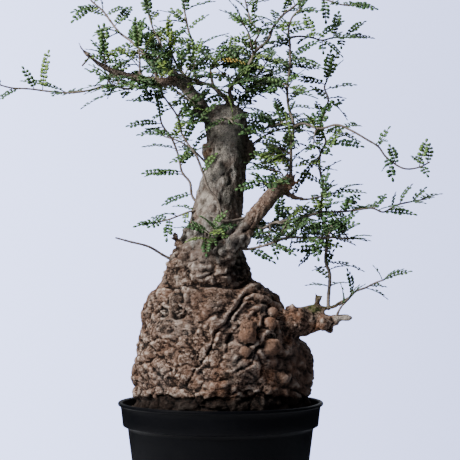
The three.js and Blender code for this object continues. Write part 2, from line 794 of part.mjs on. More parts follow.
// Each stem starts a small gap beyond a collar that is one with its parent.
function growStems(solids) {
  for (const [name, stem] of Object.entries(STEMS)) {
    const curve = routeCurve(stem.route);
    const collarEnd = 1 / (stem.route.length - 1);
    const firstStretch = seen(stem.route[1]).distanceTo(seen(stem.route[2]));
    const twigStart = collarEnd * (1 + STEM_GAP / firstStretch);
    const sides = stem.radii[0] > THICK_TWIG ? THICK_TWIG_SIDES : THIN_TWIG_SIDES;
    const radii = [stem.radii[0] * COLLAR_SWELL, ...stem.radii];
    const collar = limb(curve, radii, COLLAR_SIDES, 0, collarEnd, 1);
    solids[stem.parent] = solids[stem.parent].add(solidOf(collar));
    const twig = solidOf(limb(curve, stem.radii, sides, twigStart));
    const leaves = stemLeaves(stem, curve, twigStart).map(solidOf);
    solids[name] = joined([twig, ...leaves]);
  }
}

const solids = { pot: pot(), soil: soil(), wood: wood() };
growStems(solids);

const tree = new THREE.Group();
tree.name = "operculicarya_bonsai";
for (const [name, solid] of Object.entries(solids)) {
  const look = COLOURS[name] ?? COLOURS.foliage;
  const mesh = new THREE.Mesh(geometryOf(solid), new THREE.MeshStandardMaterial(look));
  mesh.name = name in COLOURS ? name : `stem_${name}`;
  tree.add(mesh);
}

export default tree;
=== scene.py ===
"""Looks of an operculicarya pachypus bonsai in its black nursery pot.

Lengths in the tables are millimetres in the frame's own axes; meshes are made in metres.
Routes are written as seen from the front: x and z in the plane through the pot's axis, then depth.
"""

import math
from random import Random

import bpy
import numpy as np
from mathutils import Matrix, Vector


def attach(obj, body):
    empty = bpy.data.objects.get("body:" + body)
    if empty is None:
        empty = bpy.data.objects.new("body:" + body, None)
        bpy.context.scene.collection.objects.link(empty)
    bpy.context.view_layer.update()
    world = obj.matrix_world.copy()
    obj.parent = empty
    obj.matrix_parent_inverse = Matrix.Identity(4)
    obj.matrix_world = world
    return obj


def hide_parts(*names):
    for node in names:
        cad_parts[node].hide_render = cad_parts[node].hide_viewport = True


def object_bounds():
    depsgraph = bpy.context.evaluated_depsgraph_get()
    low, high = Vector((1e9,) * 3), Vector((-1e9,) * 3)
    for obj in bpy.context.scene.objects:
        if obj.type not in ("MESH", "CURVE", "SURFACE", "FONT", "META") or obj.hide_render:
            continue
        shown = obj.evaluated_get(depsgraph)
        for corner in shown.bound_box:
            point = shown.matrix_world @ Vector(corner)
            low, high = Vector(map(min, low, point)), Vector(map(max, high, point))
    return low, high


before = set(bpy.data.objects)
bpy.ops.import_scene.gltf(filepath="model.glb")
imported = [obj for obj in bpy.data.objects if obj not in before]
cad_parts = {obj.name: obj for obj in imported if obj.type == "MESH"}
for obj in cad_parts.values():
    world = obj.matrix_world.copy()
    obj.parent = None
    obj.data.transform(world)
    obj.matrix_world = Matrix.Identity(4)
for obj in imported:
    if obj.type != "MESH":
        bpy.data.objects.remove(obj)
CAD_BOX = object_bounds()

MM = 0.001

# Viewer: how far in front of the axis, and where.
VIEWER_DISTANCE = 1404
VIEWER_X = 7.3
VIEWER_Z = 265
LENS = 140.9
SENSOR = 36

# Pot: a thin moulding with a rolled lip, as radius and height pairs round the whole wall.
POT_PROFILE = [
    [0, 0], [30, 0], [54, 0], [56.8, 0], [57.8, 0.3], [58.2, 1.1],
    [60.7, 20], [63.9, 45], [67.8, 75], [72.2, 109.5], [72.6, 111.2],
    [73.4, 112.2], [75.3, 112.7], [76, 113.1], [76.3, 113.9],
    [76.8, 119], [77.4, 124], [77.9, 128], [78.3, 128.7], [79.2, 128.7], [79.8, 129.2],
    [80, 130], [79.8, 130.9], [79.2, 131.4], [78.2, 131.5], [77.1, 131.3], [76.5, 130.7],
    [76.1, 127.5], [75.1, 118], [74.6, 114.1], [73.9, 113.6], [71.6, 111.5], [70.7, 109.6],
    [66.2, 75], [62.3, 45], [59.1, 20], [57, 4.4], [56.2, 2.9], [54, 2.6], [30, 2.6], [0, 2.6],
]
POT_TURNS = 160
SHARP_ANGLE = 32
DRAIN_HOLES = 6
DRAIN_RADIUS = 5
DRAIN_CIRCLE_RADIUS = 40
DRAIN_TURNS = 28
DRILL_HEIGHTS = (-3, 6)

# Potting mix: heights and radii of its outside, and the room that it leaves for the root crown.
# Round the wood it reaches in to that share of the wood's own width.
MIX_TOP = 123.5
MIX_FOOT = [[3, 18], [3, 40]]
MIX_WALL = [[3, 55.8], [20, 58.2], [45, 61.4], [75, 65.3], [109, 69.8], [114.5, 73.5], [MIX_TOP, 74.8]]
MIX_ROOM_HEIGHTS = [112, 98, 86]
MIX_ENDS = [[0, 0, 3], [1.5, 0, 81]]
WOOD_ROOM = 0.97
MIX_TURNS = 220
MIX_RINGS = 18
MIX_GRAIN = 1.5

# Loose lumps on the mix: how many, their sizes, and the share of their size by which they are raised.
CRUMBS = (620, (0.8, 2.2), 0.1)
PUMICE_GRAINS = (46, (0.9, 2.0), 0.3)
CRUMBS_END = 73.6
CRUMB_SIDES = 6
CRUMB_TILTS = [-0.85, -0.15, 0.55, 1.0]
CRUMB_POLE = 1.05
CRUMB_REACH = (0.75, 1.15)
CRUMB_STRETCH = [(0.8, 1.3), (0.7, 1.1), (0.5, 0.9)]
CRUMB_SEED = 88

# Table, and lights in metres: place, target, size, watts and colour.
FLOOR_RADIUS = 330
FLOOR_TURNS = 128
LIGHTS = [
    ("key", (-1.42, -0.94, 1.38), (0, 0, 0.28), 0.7, 94, (1.0, 0.97, 0.93)),
    ("fill", (1.2, -1.1, 0.6), (0, 0, 0.25), 1.2, 0.6, (0.88, 0.93, 1.0)),
    ("rim", (0.3, 1.4, 1.1), (0, 0, 0.3), 1.0, 5, (0.92, 0.95, 1.0)),
]

# Surround that sheds light, by height, and backdrop that is seen, by side: range, colours and strength.
SURROUND = (-1, 1, [(0.42, (0.008, 0.009, 0.011)), (0.80, (0.34, 0.37, 0.43))], 1.0)
BACKDROP = (-0.13, 0.13, [(0.0, (0.73, 0.83, 1.36)), (1.0, (0.505, 0.565, 0.94))], 3.0)

# Swollen base and trunk, from the crown down: height, left edge, right edge and half depth.
BODY_SECTIONS = [
    [363, -1, 11, 6],
    [359, -9, 17, 12],
    [351, -12, 20, 15],
    [340, -11, 22, 15.5],
    [327, -9, 22, 15.5],
    [314, -12, 20, 16],
    [304, -15, 19, 17],
    [290, -19, 18, 18.5],
    [276, -23, 17, 21],
    [262, -28, 15.5, 24],
    [251, -35, 13, 28],
    [243, -40, 18.5, 32],
    [235, -44, 22, 36],
    [228, -46, 26.5, 39],
    [222, -50, 34, 42],
    [215, -55, 43, 47],
    [206, -58, 49, 51],
    [198, -61, 54, 54],
    [188, -63, 60, 57],
    [177, -65, 65, 60],
    [166, -67.5, 69, 62],
    [154, -68, 71.5, 63],
    [142, -68, 72, 62],
    [132, -67, 70.5, 61],
    [126, -66, 68, 60],
]
BURIED_EDGE = [116, -63, 65, 57]
BODY_SIDES = 120
BODY_ROWS = 150

# Root crown, buried: height, left edge, right edge and half depth. Its top stands in the base.
ROOT_SECTIONS = [[112, -61, 62, 55], [98, -50, 50, 46], [86, -34, 34, 32], [80, -14, 14, 13]]
ROOT_TOP = [122, -63, 65, 57]
ROOT_SIDES = 64
ROOT_ROWS = 16

# Tubes: the direction that their rings start from, and how far their ends bulge, as shares of the radius.
FIRST_ACROSS = [0.31, -0.8, 0.52]
FOOT_ROUNDING = 0.4
TIP_ROUNDING = 0.6

# Thick limbs: evenly spaced radii, and the route.
LIMBS = {
    "right": ([7, 8.6, 7.4, 6.4, 6.7, 6.4, 5.4], [
        [-1, 240, -25], [5, 248, -31], [12, 257, -29], [20, 267, -24], [30, 280, -19], [42, 294, -17],
        [55, 305, -16],
    ]),
    "rightStub": ([3, 2.3, 1.6], [[48, 296, -15], [56, 291, -18], [65, 289, -21]]),
    "topLeft": ([7.5, 6.2, 5, 4.4, 3.2, 2], [
        [0, 345, -2], [-12, 356, -5], [-23, 372, -8], [-31, 380, -10], [-38, 387, -12], [-48, 395, -14],
    ]),
    "antler": ([4, 3.5, 2.8, 2.6, 2, 1.4, 0.7], [
        [-30, 381, -10], [-55, 381, -16], [-71, 385, -20], [-85, 389, -24], [-98, 397, -28],
        [-108, 406, -31], [-111, 412, -32],
    ]),
    "antlerPeg": ([0.9, 0.7], [[-103, 399, -29], [-108, 393, -30]]),
    "crownFork": ([3.6, 2.6, 2.1, 1.8, 1.4], [
        [11, 353, 0], [6, 366, 4], [-1, 372, 6], [-6, 377, 7], [-20, 381, 9],
    ]),
    "crownPeg": ([1.4, 1.1, 0.9], [[-5, 375, 7], [-7, 383, 8], [-8, 390, 8]]),
    "knob": ([13, 13, 11.5, 9.2, 6, 3.6, 2.5], [
        [38, 190, -14], [52, 193, -16], [66, 193, -18], [74, 194, -20], [83, 193.5, -22], [91, 196, -23],
        [100, 197.5, -24],
    ]),
    "knobPeg": ([2.6, 1.7], [[74, 203, -19], [77, 214, -20]]),
    "mossyLimb": ([4, 2.7, 2.2, 1.9, 1.4], [
        [58, 200, -15], [74, 205, -18], [82, 204, -19], [90, 206, -20], [97, 210, -21],
    ]),
    "barrenTwig": ([1.4, 1, 0.9, 0.8, 0.6], [
        [-32, 239, -14], [-44, 245, -17], [-56, 252, -22], [-71, 256, -28], [-82, 259, -31],
    ]),
    "crossingTwig": ([1.3, 1, 0.9, 0.7], [[25, 277, -20], [17, 274, -26], [4, 272, -29], [-8, 276, -28]]),
    "leftStump": ([3.4, 2.4, 0.9], [[-28, 250, -14], [-34, 254, -15], [-37, 261, -16]]),
    "leftPeg": ([1.7, 0.9], [[-23, 258, -8], [-29, 265, -10]]),
    "limbPeg": ([1.9, 1.2], [[37, 290, -15], [38, 303, -16]]),
}
LIMB_STEP = 1.5
LIMB_SIDES = 20
LIMB_KNOBS = 0.13
THINNEST_LIMB = 0.8

# Limbs too thin for the remeshed wood, limbs that side twigs grow from, and limbs with moss.
THIN_LIMBS = ["barrenTwig", "crossingTwig", "antlerPeg", "crownPeg"]
TWIGGY_LIMBS = ["right", "topLeft", "antler", "crownFork", "crownPeg"]
MOSSY_LIMBS = ["mossyLimb", "knobPeg"]
BARE_TWIG_STEP = 0.9
BARE_TWIG_SIDES = 9

# Round burls of the trunk and the base: x, z, depth, and half sizes.
TRUNK_BURLS = [[[20, 326, -3], [7, 7, 9]], [[-9, 326, -4], [5, 6, 8]]]
BASE_BURLS = [[[39, 178, -47], [8, 7, 8]], [[21, 189, -50], [7, 7, 10]]]

# Leafy stems: thickness at both ends, the route, and leaves as share of the stem, then where each ends.
STEMS = {
    "leftLong": ([1.2, 0.6], [
        [-15, 379, 8], [-24, 379, 11], [-33, 378, 13], [-47, 381, 15], [-63, 379, 16], [-72, 375, 16],
        [-87, 378, 15], [-102, 374, 13], [-117, 372, 10], [-133, 373, 7], [-149, 375, 4], [-164, 376, 1],
        [-178, 380, -2],
    ], [
        [0.42, -108, 360, 10], [0.68, -155, 381, 10], [0.78, -134, 404, 4], [0.88, -172, 367, 0],
        [0.96, -179, 391, -4],
    ]),
    "upperLeft": ([1.2, 0.6], [
        [-50, 379, -15], [-51, 388, -12], [-55, 397, -8], [-62, 405, -3], [-71, 413, 3], [-79, 419, 8],
        [-86, 428, 13], [-92, 436, 17], [-101, 444, 20], [-106, 452, 21], [-113, 462, 22],
    ], [
        [0.42, -60, 429, 4], [0.55, -98, 417, 0], [0.66, -74, 438, 16], [0.74, -115, 435, 8],
        [0.92, -124, 450, 18], [1, -117, 480, 22],
    ]),
    "antlerShoot": ([0.9, 0.6], [
        [-63, 383, -18], [-63, 388, -18], [-63, 397, -19], [-64, 407, -20],
    ], [
        [0.6, -80, 405, -22], [1, -60, 428, -24],
    ]),
    "antlerSpray": ([0.8, 0.6], [
        [-90, 391, -26], [-90, 396, -27], [-91, 402, -28],
    ], [
        [0.9, -91, 424, -34], [1, -100, 412, -24],
    ]),
    "crownUpright": ([1.1, 0.6], [
        [-18, 380, 9], [-20, 386, 10], [-22, 398, 12], [-21, 408, 14], [-25, 420, 16], [-27, 430, 17],
        [-29, 440, 18], [-31, 452, 20], [-33, 462, 22],
    ], [
        [0.2, -2, 401, 6], [0.34, 5, 418, 8], [0.6, -46, 436, 10], [0.7, -6, 443, 18], [1, -35, 480, 24],
    ]),
    "youngShoot": ([1.2, 0.6], [
        [-17, 381, 8], [-26, 384, 3], [-32, 390, -1], [-37, 400, -5], [-40, 409, -8], [-40, 416, -10],
    ], [
        [0.6, -54, 398, -2], [0.8, -49, 417, -14], [1, -41, 430, -14],
    ]),
    "crownRising": ([1.7, 0.7], [
        [9, 355, -3], [9, 366, -6], [7, 374, -8], [14, 384, -8], [22, 394, -6], [27, 404, -2],
        [37, 413, 4], [41, 423, 8], [49, 433, 11], [57, 439, 13], [71, 451, 15], [80, 460, 17],
    ], [
        [0.26, 36, 380, -16], [0.36, 0, 397, -16], [0.42, 38, 399, -14], [0.66, 26, 432, -6],
        [0.8, 47, 452, 16], [1, 92, 476, 20],
    ]),
    "crownInner": ([0.9, 0.6], [
        [28, 406, -1], [27, 412, 2], [30, 419, 5], [24, 427, 9], [21, 437, 12], [18, 449, 15],
        [16, 460, 17],
    ], [
        [0.5, 8, 430, 16], [0.7, 36, 444, 20], [1, 14, 478, 20],
    ]),
    "crownShoot": ([0.8, 0.6], [
        [26, 400, -3], [24, 409, -8], [22, 418, -13], [17, 427, -17],
    ], [
        [0.8, 34, 430, -26], [1, 1, 436, -22],
    ]),
    "topRight": ([0.8, 0.6], [
        [70, 450, 15], [76, 447, 12], [84, 444, 9], [93, 441, 6], [100, 440, 4],
    ], [
        [0.4, 82, 428, 6], [0.6, 92, 460, 2], [1, 118, 439, 0],
    ]),
    "tallRight": ([1.3, 0.7], [
        [54, 300, -16], [55, 314, -16], [55, 330, -15], [57, 347, -14], [53, 361, -12], [52, 376, -10],
        [54, 391, -9], [54, 411, -8], [53, 421, -8], [56, 431, -9], [63, 438, -10],
    ], [
        [0.1, 80, 318, -24], [0.27, 76, 340, -8], [0.47, 74, 368, -18], [0.55, 32, 374, -18],
        [0.64, 79, 391, -14], [0.7, 32, 402, -4], [0.86, 34, 424, -16], [0.95, 78, 436, -20],
        [1, 66, 458, -14],
    ]),
    "tallLeftSpray": ([0.8, 0.6], [
        [57, 348, -14], [50, 348, -18], [44, 347, -22], [37, 345, -26],
    ], [
        [0.5, 43, 364, -34], [0.75, 26, 358, -30], [1, 16, 340, -34],
    ]),
    "tallRightSpray": ([0.8, 0.6], [
        [54, 415, -8], [61, 416, -4], [71, 415, 1], [79, 413, 5], [88, 415, 9], [98, 415, 13],
    ], [
        [0.45, 66, 432, 10], [0.6, 94, 401, 4], [0.8, 92, 434, 14], [1, 112, 427, 18],
    ]),
    "farRight": ([1, 0.6], [
        [57, 345, -14], [64, 348, -18], [77, 344, -24], [91, 347, -30], [103, 342, -34], [115, 335, -37],
        [123, 330, -38], [129, 322, -38], [143, 313, -37], [155, 314, -36], [163, 318, -35],
    ], [
        [0.2, 86, 364, -26], [0.34, 82, 326, -34], [0.6, 131, 344, -40], [0.7, 134, 305, -42],
        [0.76, 132, 330, -32], [0.92, 161, 308, -42], [1, 163, 331, -30],
    ]),
    "knobUpright": ([1.4, 0.7], [
        [84, 203, -19], [84, 211, -17], [85, 231, -12], [82, 240, -9], [83, 257, -5], [81, 270, -3],
        [78, 282, -1], [80, 296, 1], [77, 316, 3], [78, 325, 4], [82, 334, 5], [78, 345, 6],
        [81, 357, 8], [84, 367, 9], [81, 376, 10], [83, 382, 11],
    ], [
        [0.1, 98, 224, -2], [0.2, 111, 233, 0], [0.26, 62, 238, 2], [0.42, 56, 260, 8],
        [0.58, 56, 290, 12], [0.72, 108, 334, 4], [0.86, 98, 352, 20], [0.92, 104, 378, 6],
        [0.96, 62, 382, 20], [1, 86, 404, 14],
    ]),
    "knobMossy": ([1.1, 0.6], [
        [92, 207, -20], [99, 211, -22], [105, 217, -23], [113, 220, -25], [121, 224, -27],
        [127, 226, -28],
    ], [
        [0.3, 99, 233, -28], [0.6, 129, 212, -22], [1, 141, 234, -32],
    ]),
    "knobBranchlet": ([0.9, 0.6], [
        [90, 197, -23], [94, 205, -29], [100, 211, -33],
    ], [
        [0.6, 94, 222, -38], [1, 107, 221, -40],
    ]),
    "limbLong": ([1.1, 0.6], [
        [24, 273, -22], [32, 266, -24], [40, 270, -23], [54, 273, -26], [66, 275, -27], [78, 279, -28],
        [88, 279, -28], [102, 280, -27], [118, 282, -26], [127, 279, -25], [136, 284, -24],
        [148, 287, -22], [159, 289, -20],
    ], [
        [0.2, 48, 290, -40], [0.28, 66, 256, -18], [0.38, 94, 287, -36], [0.46, 90, 266, -22],
        [0.56, 101, 290, -20], [0.68, 128, 292, -18], [0.74, 151, 277, -28], [0.82, 136, 293, -30],
        [0.93, 159, 297, -24], [1, 171, 293, -18],
    ]),
    "limbLow": ([1.1, 0.6], [
        [10, 253, -28], [19, 250, -31], [31, 252, -31], [41, 255, -31], [52, 259, -33], [62, 259, -35],
        [78, 259, -36], [89, 259, -36], [100, 258, -35],
    ], [
        [0.15, 41, 240, -34], [0.35, 57, 246, -38], [0.5, 70, 271, -46], [0.7, 76, 243, -40],
        [0.85, 98, 269, -42], [1, 115, 257, -34],
    ]),
    "limbStubSpray": ([0.9, 0.6], [
        [62, 289, -20], [68, 289, -22], [78, 291, -20], [88, 294, -17],
    ], [
        [0.7, 84, 312, -22], [1, 112, 294, -12],
    ]),
    "trunkLeft": ([1.1, 0.7], [
        [-12, 280, 2], [-22, 291, 3], [-24, 302, 4], [-30, 310, 6], [-33, 323, 8], [-38, 336, 10],
        [-46, 348, 12], [-48, 361, 13], [-50, 371, 12],
    ], [
        [0.15, -44, 285, 2], [0.35, -60, 309, 4], [0.42, -20, 330, 14], [0.55, -60, 330, 16],
        [0.75, -72, 346, 8], [0.9, -72, 366, 20],
    ]),
    "trunkFront": ([1.1, 0.7], [
        [3, 269, -17], [1, 277, -25], [-3, 289, -26], [-10, 298, -25], [-14, 310, -23], [-19, 323, -21],
        [-26, 333, -19], [-31, 342, -18], [-34, 354, -17], [-40, 363, -18], [-45, 370, -20],
    ], [
        [0.5, -38, 318, -30], [0.66, -64, 339, -22], [0.74, -10, 350, -32], [0.86, -24, 372, -32],
        [1, -66, 366, -26],
    ]),
    "trunkLow": ([0.8, 0.6], [
        [-12, 281, -8], [-22, 280, -11], [-33, 276, -14], [-41, 273, -16], [-50, 271, -18],
    ], [
        [0.7, -42, 258, -22], [1, -66, 268, -22],
    ]),
    "crotchSpray": ([0.9, 0.6], [
        [-10, 262, -18], [-12, 262, -26], [-10, 258, -31],
    ], [
        [0.9, -11, 246, -42], [1, -26, 256, -42],
    ]),
    "crownFront": ([1, 0.6], [
        [2, 346, -8], [2, 350, -19], [6, 352, -28], [10, 348, -36],
    ], [
        [0.6, -14, 342, -32], [0.8, 24, 354, -38], [1, 4, 372, -46],
    ]),
    "limbTopFront": ([1, 0.6], [
        [-24, 372, -9], [-22, 377, -17], [-28, 384, -30], [-36, 388, -42], [-42, 390, -52],
    ], [
        [0.5, -6, 386, -34], [0.7, -52, 396, -40], [1, -56, 388, -72],
    ]),
    "limbTopBranch": ([1, 0.6], [
        [-42, 389, -13], [-48, 397, -12], [-46, 408, -6], [-52, 420, 0], [-56, 432, 4],
    ], [
        [0.5, -32, 412, 4], [0.7, -70, 428, -8], [1, -60, 452, 6],
    ]),
    "backCrown": ([1.3, 0.6], [
        [8, 350, 4], [10, 356, 18], [16, 366, 30], [24, 376, 44], [30, 388, 58], [36, 396, 74],
    ], [
        [0.35, 34, 372, 20], [0.6, 46, 380, 52], [0.75, 14, 400, 54], [0.9, 54, 390, 84],
        [1, 40, 406, 98],
    ]),
    "backLeft": ([1.3, 0.6], [
        [-4, 346, 5], [-10, 352, 18], [-20, 362, 32], [-30, 370, 48], [-42, 380, 62], [-50, 390, 74],
    ], [
        [0.35, -8, 378, 36], [0.45, -42, 362, 36], [0.85, -40, 404, 76], [1, -58, 402, 98],
    ]),
    "backMiddle": ([1.1, 0.6], [
        [-4, 312, 8], [-10, 316, 20], [-20, 326, 36], [-32, 334, 50], [-44, 338, 66],
    ], [
        [0.55, -8, 342, 46], [0.85, -30, 352, 66], [1, -58, 344, 88],
    ]),
    "backRight": ([1.1, 0.6], [
        [10, 320, 8], [18, 326, 20], [30, 336, 34], [42, 342, 48], [56, 346, 62],
    ], [
        [0.6, 22, 352, 44], [0.85, 60, 332, 50], [1, 74, 352, 78],
    ]),
    "backLow": ([1.1, 0.6], [
        [4, 262, 12], [14, 262, 28], [28, 262, 42], [42, 264, 54], [56, 268, 64],
    ], [
        [0.6, 30, 250, 60], [0.8, 62, 280, 50], [1, 74, 264, 84],
    ]),
}
STEM_STEP = 1.1
STEM_SIDES = 7
STEM_COLLAR = 0.35
COLLAR_LENGTH = 5
STEM_LEAF_ROLL = 0.3
LAST_LEAF_AT = 0.98
SCAR_SPACING = 5.3

# Turns space between the layers of a noise, so that their grids don't line up.
TURNED = np.array([[0, 0.8, 0.6], [-0.8, 0.36, -0.48], [-0.6, -0.48, 0.64]])

# Relief of the bark, the same folds as the frame's: count round the tree, and climb for each radian.
RIDGES = [[5, 12], [9, 8], [4, -7]]
LUMP = 1.25
FOLD_HEIGHT = 225
FOLD_SPREAD = 5
FOLD_DEPTH = 4.5
THIN_SHARE = 0.2

# Heights between which the folds set in over the mix and thin out up the trunk, the bark sets in over
# the mix, and the trunk's bark takes over. The base's low lumps end between the last two, lower down
# on the right.
FOLDS_RISE = (128, 144)
THIN_BARK_RISE = (220, 300)
BARK_FOOT = (120, 130)
TRUNK_RISE = (258, 284)
LOW_BARK_END = (142, 204)

# How far in front of the axis the marks of the front set in and are whole.
FRONT_RISE = (4, 14)

# Rough bark: sizes of its lumps, their heights and a seed.
CRUST = ((5, 2.8), (0.8, 0.5), 311)
FORMS = ((19, 9.5), (5.4, 1.9), 317)
WOUND_RIDGES = ((12,), (4.6,), 325)
TRUNK_FLAKES = ((9, 4.2, 2.6), (1.5, 0.9, 0.7), 351)
KNOB_LUMPS = ((10, 4.4, 2.6), (1.8, 0.9, 0.5), 371)

# Rounded lumps low on the base, on the soft low right and over the fold.
LOW_LUMP_HEIGHT = 3.9
SOFT_LUMP_HEIGHT = 7
NECK_LUMP_HEIGHT = 2.6

# How far the lumps and the drawn lines are pushed about, and the height over which ridges wind
# round by a radian.
WARP_REACH = 3.2
LINE_WARP = 1.5
TWIST = 62

# Creases of the swollen base, seen on its front as x and z, and the shadow line over its shoulder.
CREASES = [
    [[-26, 147], [-20, 160], [-9, 172], [-3, 188], [8, 198], [19, 216], [27, 219], [37, 216], [49, 206]],
    [[5, 196], [15, 210], [24, 213], [35, 210], [43, 204]],
    [[4, 174], [7, 185], [14, 194], [24, 200], [30, 204]],
    [[-60, 178], [-47, 184], [-36, 182]],
    [[13, 160], [24, 166], [30, 176], [29, 187]],
    [[-50, 220.5], [-42, 222], [-33, 221.5]],
    [[71, 203], [72.5, 194], [70, 185]],
    [[84.5, 199], [85.5, 193], [84, 187]],
]
CREASE_WIDTH = 0.85
CREASE_DEPTH = 1.7
SHADOW_LINE = [
    [-33, 221.5], [-22, 225], [-12, 223.5], [0, 224], [10, 222], [18, 223.5], [24, 228], [27, 234],
]
SHADOW_WIDTH = 1.4
SHADOW_DEPTH = 3.0

# Raised folds that sweep over the right shoulder, between the creases.
SWEEPS = [
    [[-2, 184], [4, 198], [12, 211], [21, 221], [31, 224], [43, 219], [55, 208]],
    [[8, 197], [15, 208], [25, 216], [35, 213.5], [45, 206]],
]
SWEEP_WIDTH = 2.3
SWEEP_HEIGHT = 3.2
SWEEP_REACH = 5

# Hollows of the front, as x, z, reach and depth: the first is under the right limb's foot. Their colour is
# darkened with painted shade.
RECESSES = [[14, 234, 9, 5.5], [7.5, 185, 3.2, 4.5], [-34, 213, 5, 2.4], [-58, 157, 3, 1.6]]

# Old knots of the front, as x, z and radius. Their pits are darkened with painted shade.
KNOTS = [[-32, 203, 5.6], [-44.5, 203, 4.2]]
KNOT_STRETCH = [0.86, 1.1]
KNOT_RIM = 0.3
KNOT_DEPTH = 3.6
KNOT_CALM = 0.65

# Where the bark steps in over the potting mix: its height, its climb towards the front, and its depth.
LEDGE_HEIGHT = 136.5
LEDGE_CLIMB = 0.08
LEDGE_DEPTH = 1.8

# Smooth warts on the front of the base, as x, z and radius. They stand out by a share of the radius,
# and have a level skin in place of bark. It ends between two shares of the radius, at a groove.
WARTS = [
    [39.5, 177, 7.2], [21, 187, 7], [21, 192, 6.5], [37.5, 194, 5.8], [40, 202, 4.8], [19, 174, 4.6],
]
WART_STAND = 0.3
WART_HEIGHT = 4.1
WART_EDGE = (0.86, 1.22)
WART_GROOVE = 1.2

# The remesh's grid in metres. To keep the wood's size, most of the bark's height over a wide patch
# is taken off again, and the base's rough bark is sunk. On thin limbs the bark is calmer.
VOXEL = 0.00114
LEVEL_ROUNDS = 60
LEVELLED = 0.8
BARK_SINK = 1.5
LIMB_CALM = 0.62

# Wood that only the picture shows: the knob's fat root and its pale knuckles, as centres and half sizes.
KNUCKLES = [
    [[57, 195.5, -22], [13, 12.5, 12.2]],
    [[78.5, 193, -26], [5, 6.5, 6]],
    [[84, 188, -23], [3.2, 3, 3]],
    [[88, 195, -25], [3.6, 4, 3.8]],
    [[95.5, 197.5, -24], [6.5, 3.2, 3]],
]

# Torn wood at the ends of the broken limbs, as tapering routes.
SPLINTERS = [
    [[48, 300, -18], [54, 310, -22]], [[53, 303, -16], [60, 310, -17]], [[55, 300, -18], [63, 304, -22]],
    [[46, 298, -19], [49, 306, -25]], [[52, 297, -20], [60, 298, -27]], [[50, 303, -14], [53, 313, -12]],
    [[-31, 253, -14], [-38, 258, -17]], [[-33, 254, -15], [-40, 260, -14]],
    [[-32, 254, -14], [-36, 263, -18]], [[75, 208, -20], [73.5, 217, -21]],
    [[76, 209, -20], [80.5, 215, -20]], [[90, 206, -20], [98, 211, -22], [108, 218, -24]],
]
SPLINTER_RADII = [2.2, 0.6]
SPLINTER_STEP = 1.2
SPLINTER_SIDES = 8

# Rusty bark: x, z, depth and radius.
RUSTY_SPOTS = [
    [54, 304, -19, 13], [-36, 258, -16, 9], [-11, 326, -6, 7], [40, 200, -46, 9],
    [58, 202, -34, 11],
]

# Pale, barkless wood: cut ends and the knob's tip, as x, z, depth and radius. The patches on the trunk and
# its top limb are partly their pale bark and partly painted light where the leaves shade them.
PALE_SPOTS = [
    [97, 198, -26, 11], [78, 196, -33, 4.5],
    [-24, 372, -12, 14], [3, 343, -16, 17], [12, 356, -14, 12], [-1, 325, -16, 9], [-6, 308, -16, 12],
    [-14, 288, -16, 11],
]

# Tints over the bark's colour, where the value of that name is high: strength and colour.
BARK_TINTS = [
    ("rust", 0.42, (0.31, 0.135, 0.065)),
    ("smooth", 0.35, (0.34, 0.19, 0.125)),
    # Pale: barkless wood, and painted light on the pale patches high on the trunk.
    ("pale", 0.7, (0.60, 0.54, 0.475)),
    ("moss", 0.8, (0.075, 0.098, 0.028)),
    # Near black: a darker band over the mix, and painted shade in the hollows, the knots' pits and the low
    # right.
    ("dark_band_and_painted_shade", 0.93, (0.008, 0.005, 0.004)),
]

# Leaves: pairs of small round leaflets on a thin stalk.
FOLIAGE_SEED = 417
LEAF_SLOT = 1
STALK_SLOT = 2
LEAF_FACING = [0, -0.46, 0.89]
LEAF_RISE = 0.13
LEAF_REACH = (11, 26)
BARE_SHARE = 0.14
STALK_RADII = [0.5, 0.34]
STALK_END = 0.97
STALK_RINGS = 6
STALK_SIDES = 3
LEAFLET_SPACING = 3.0
LEAFLET_LENGTH = 4.3
LEAFLET_WIDTH = 3.2
LEAFLET_THICKNESS = 0.8
LEAFLET_CUP = 0.14
LEAFLET_HEART = 0.55
LEAFLET_RIM = [
    [-0.08, 0], [0.1, 0.56], [0.4, 0.96], [0.74, 0.93], [0.97, 0.42],
    [0.97, -0.42], [0.74, -0.93], [0.4, -0.96], [0.1, -0.56],
]
LARGEST_SIZE = 1.08
LARGEST_AT = 0.55
LEAFLET_TAPER = 0.34
LEAFLET_LEAN = (0.2, 0.55)
LEAFLET_DROOP = (-0.15, 0.22)
LEAFLET_TILT = 0.14
LEAFLET_SIZES = (0.9, 1.1)
END_LEAFLET = (0.85, 0.75)
END_LEAFLET_AT = 0.95
YOUNG_SHRINK = 0.28
MISSING_LEAFLETS = 0.04
COMMON_YOUTH = [0, 0, 0.02, 0.04, 0.06, 0.1, 0.13, 0.17, 0.24, 0.38]

# Leaves round a twig: the side that they are turned from, how far they reach to each side, ahead and
# up, the turn and the spacing from one to the next, their roll, and the lowest that they hang.
TWIG_BACK = [0.3, -0.9, 0.2]
LEAF_SPREAD = [1, 0.7, 0.4]
LEAF_AHEAD = (0.2, 0.8)
LEAF_LIFT = [0, 0, 0.1]
LEAF_TURN = 2.4
UNEVEN_TURN = (-0.4, 0.4)
UNEVEN_SPACING = (0.7, 1.3)
LEAF_ROLL = 0.5
LOWEST_DROOP = -0.22

# Room that a leaf tip keeps to the frame's box and to the wood.
BOX_MARGIN = 3.5
WOOD_MARGIN = 3

# Fresh yellow-green leaves: x, z, depth, radius and how young.
FRESH_SPOTS = [
    [-40, 384, 0, 7, 0.6], [-84, 407, 0, 7, 0.5], [-40, 422, 0, 9, 0.6], [46, 318, 0, 16, 0.42],
    [-3, 390, 0, 7, 0.95], [42, 378, 0, 5, 0.82], [20, 366, 0, 4, 0.75], [60, 316, 0, 8, 0.5],
]

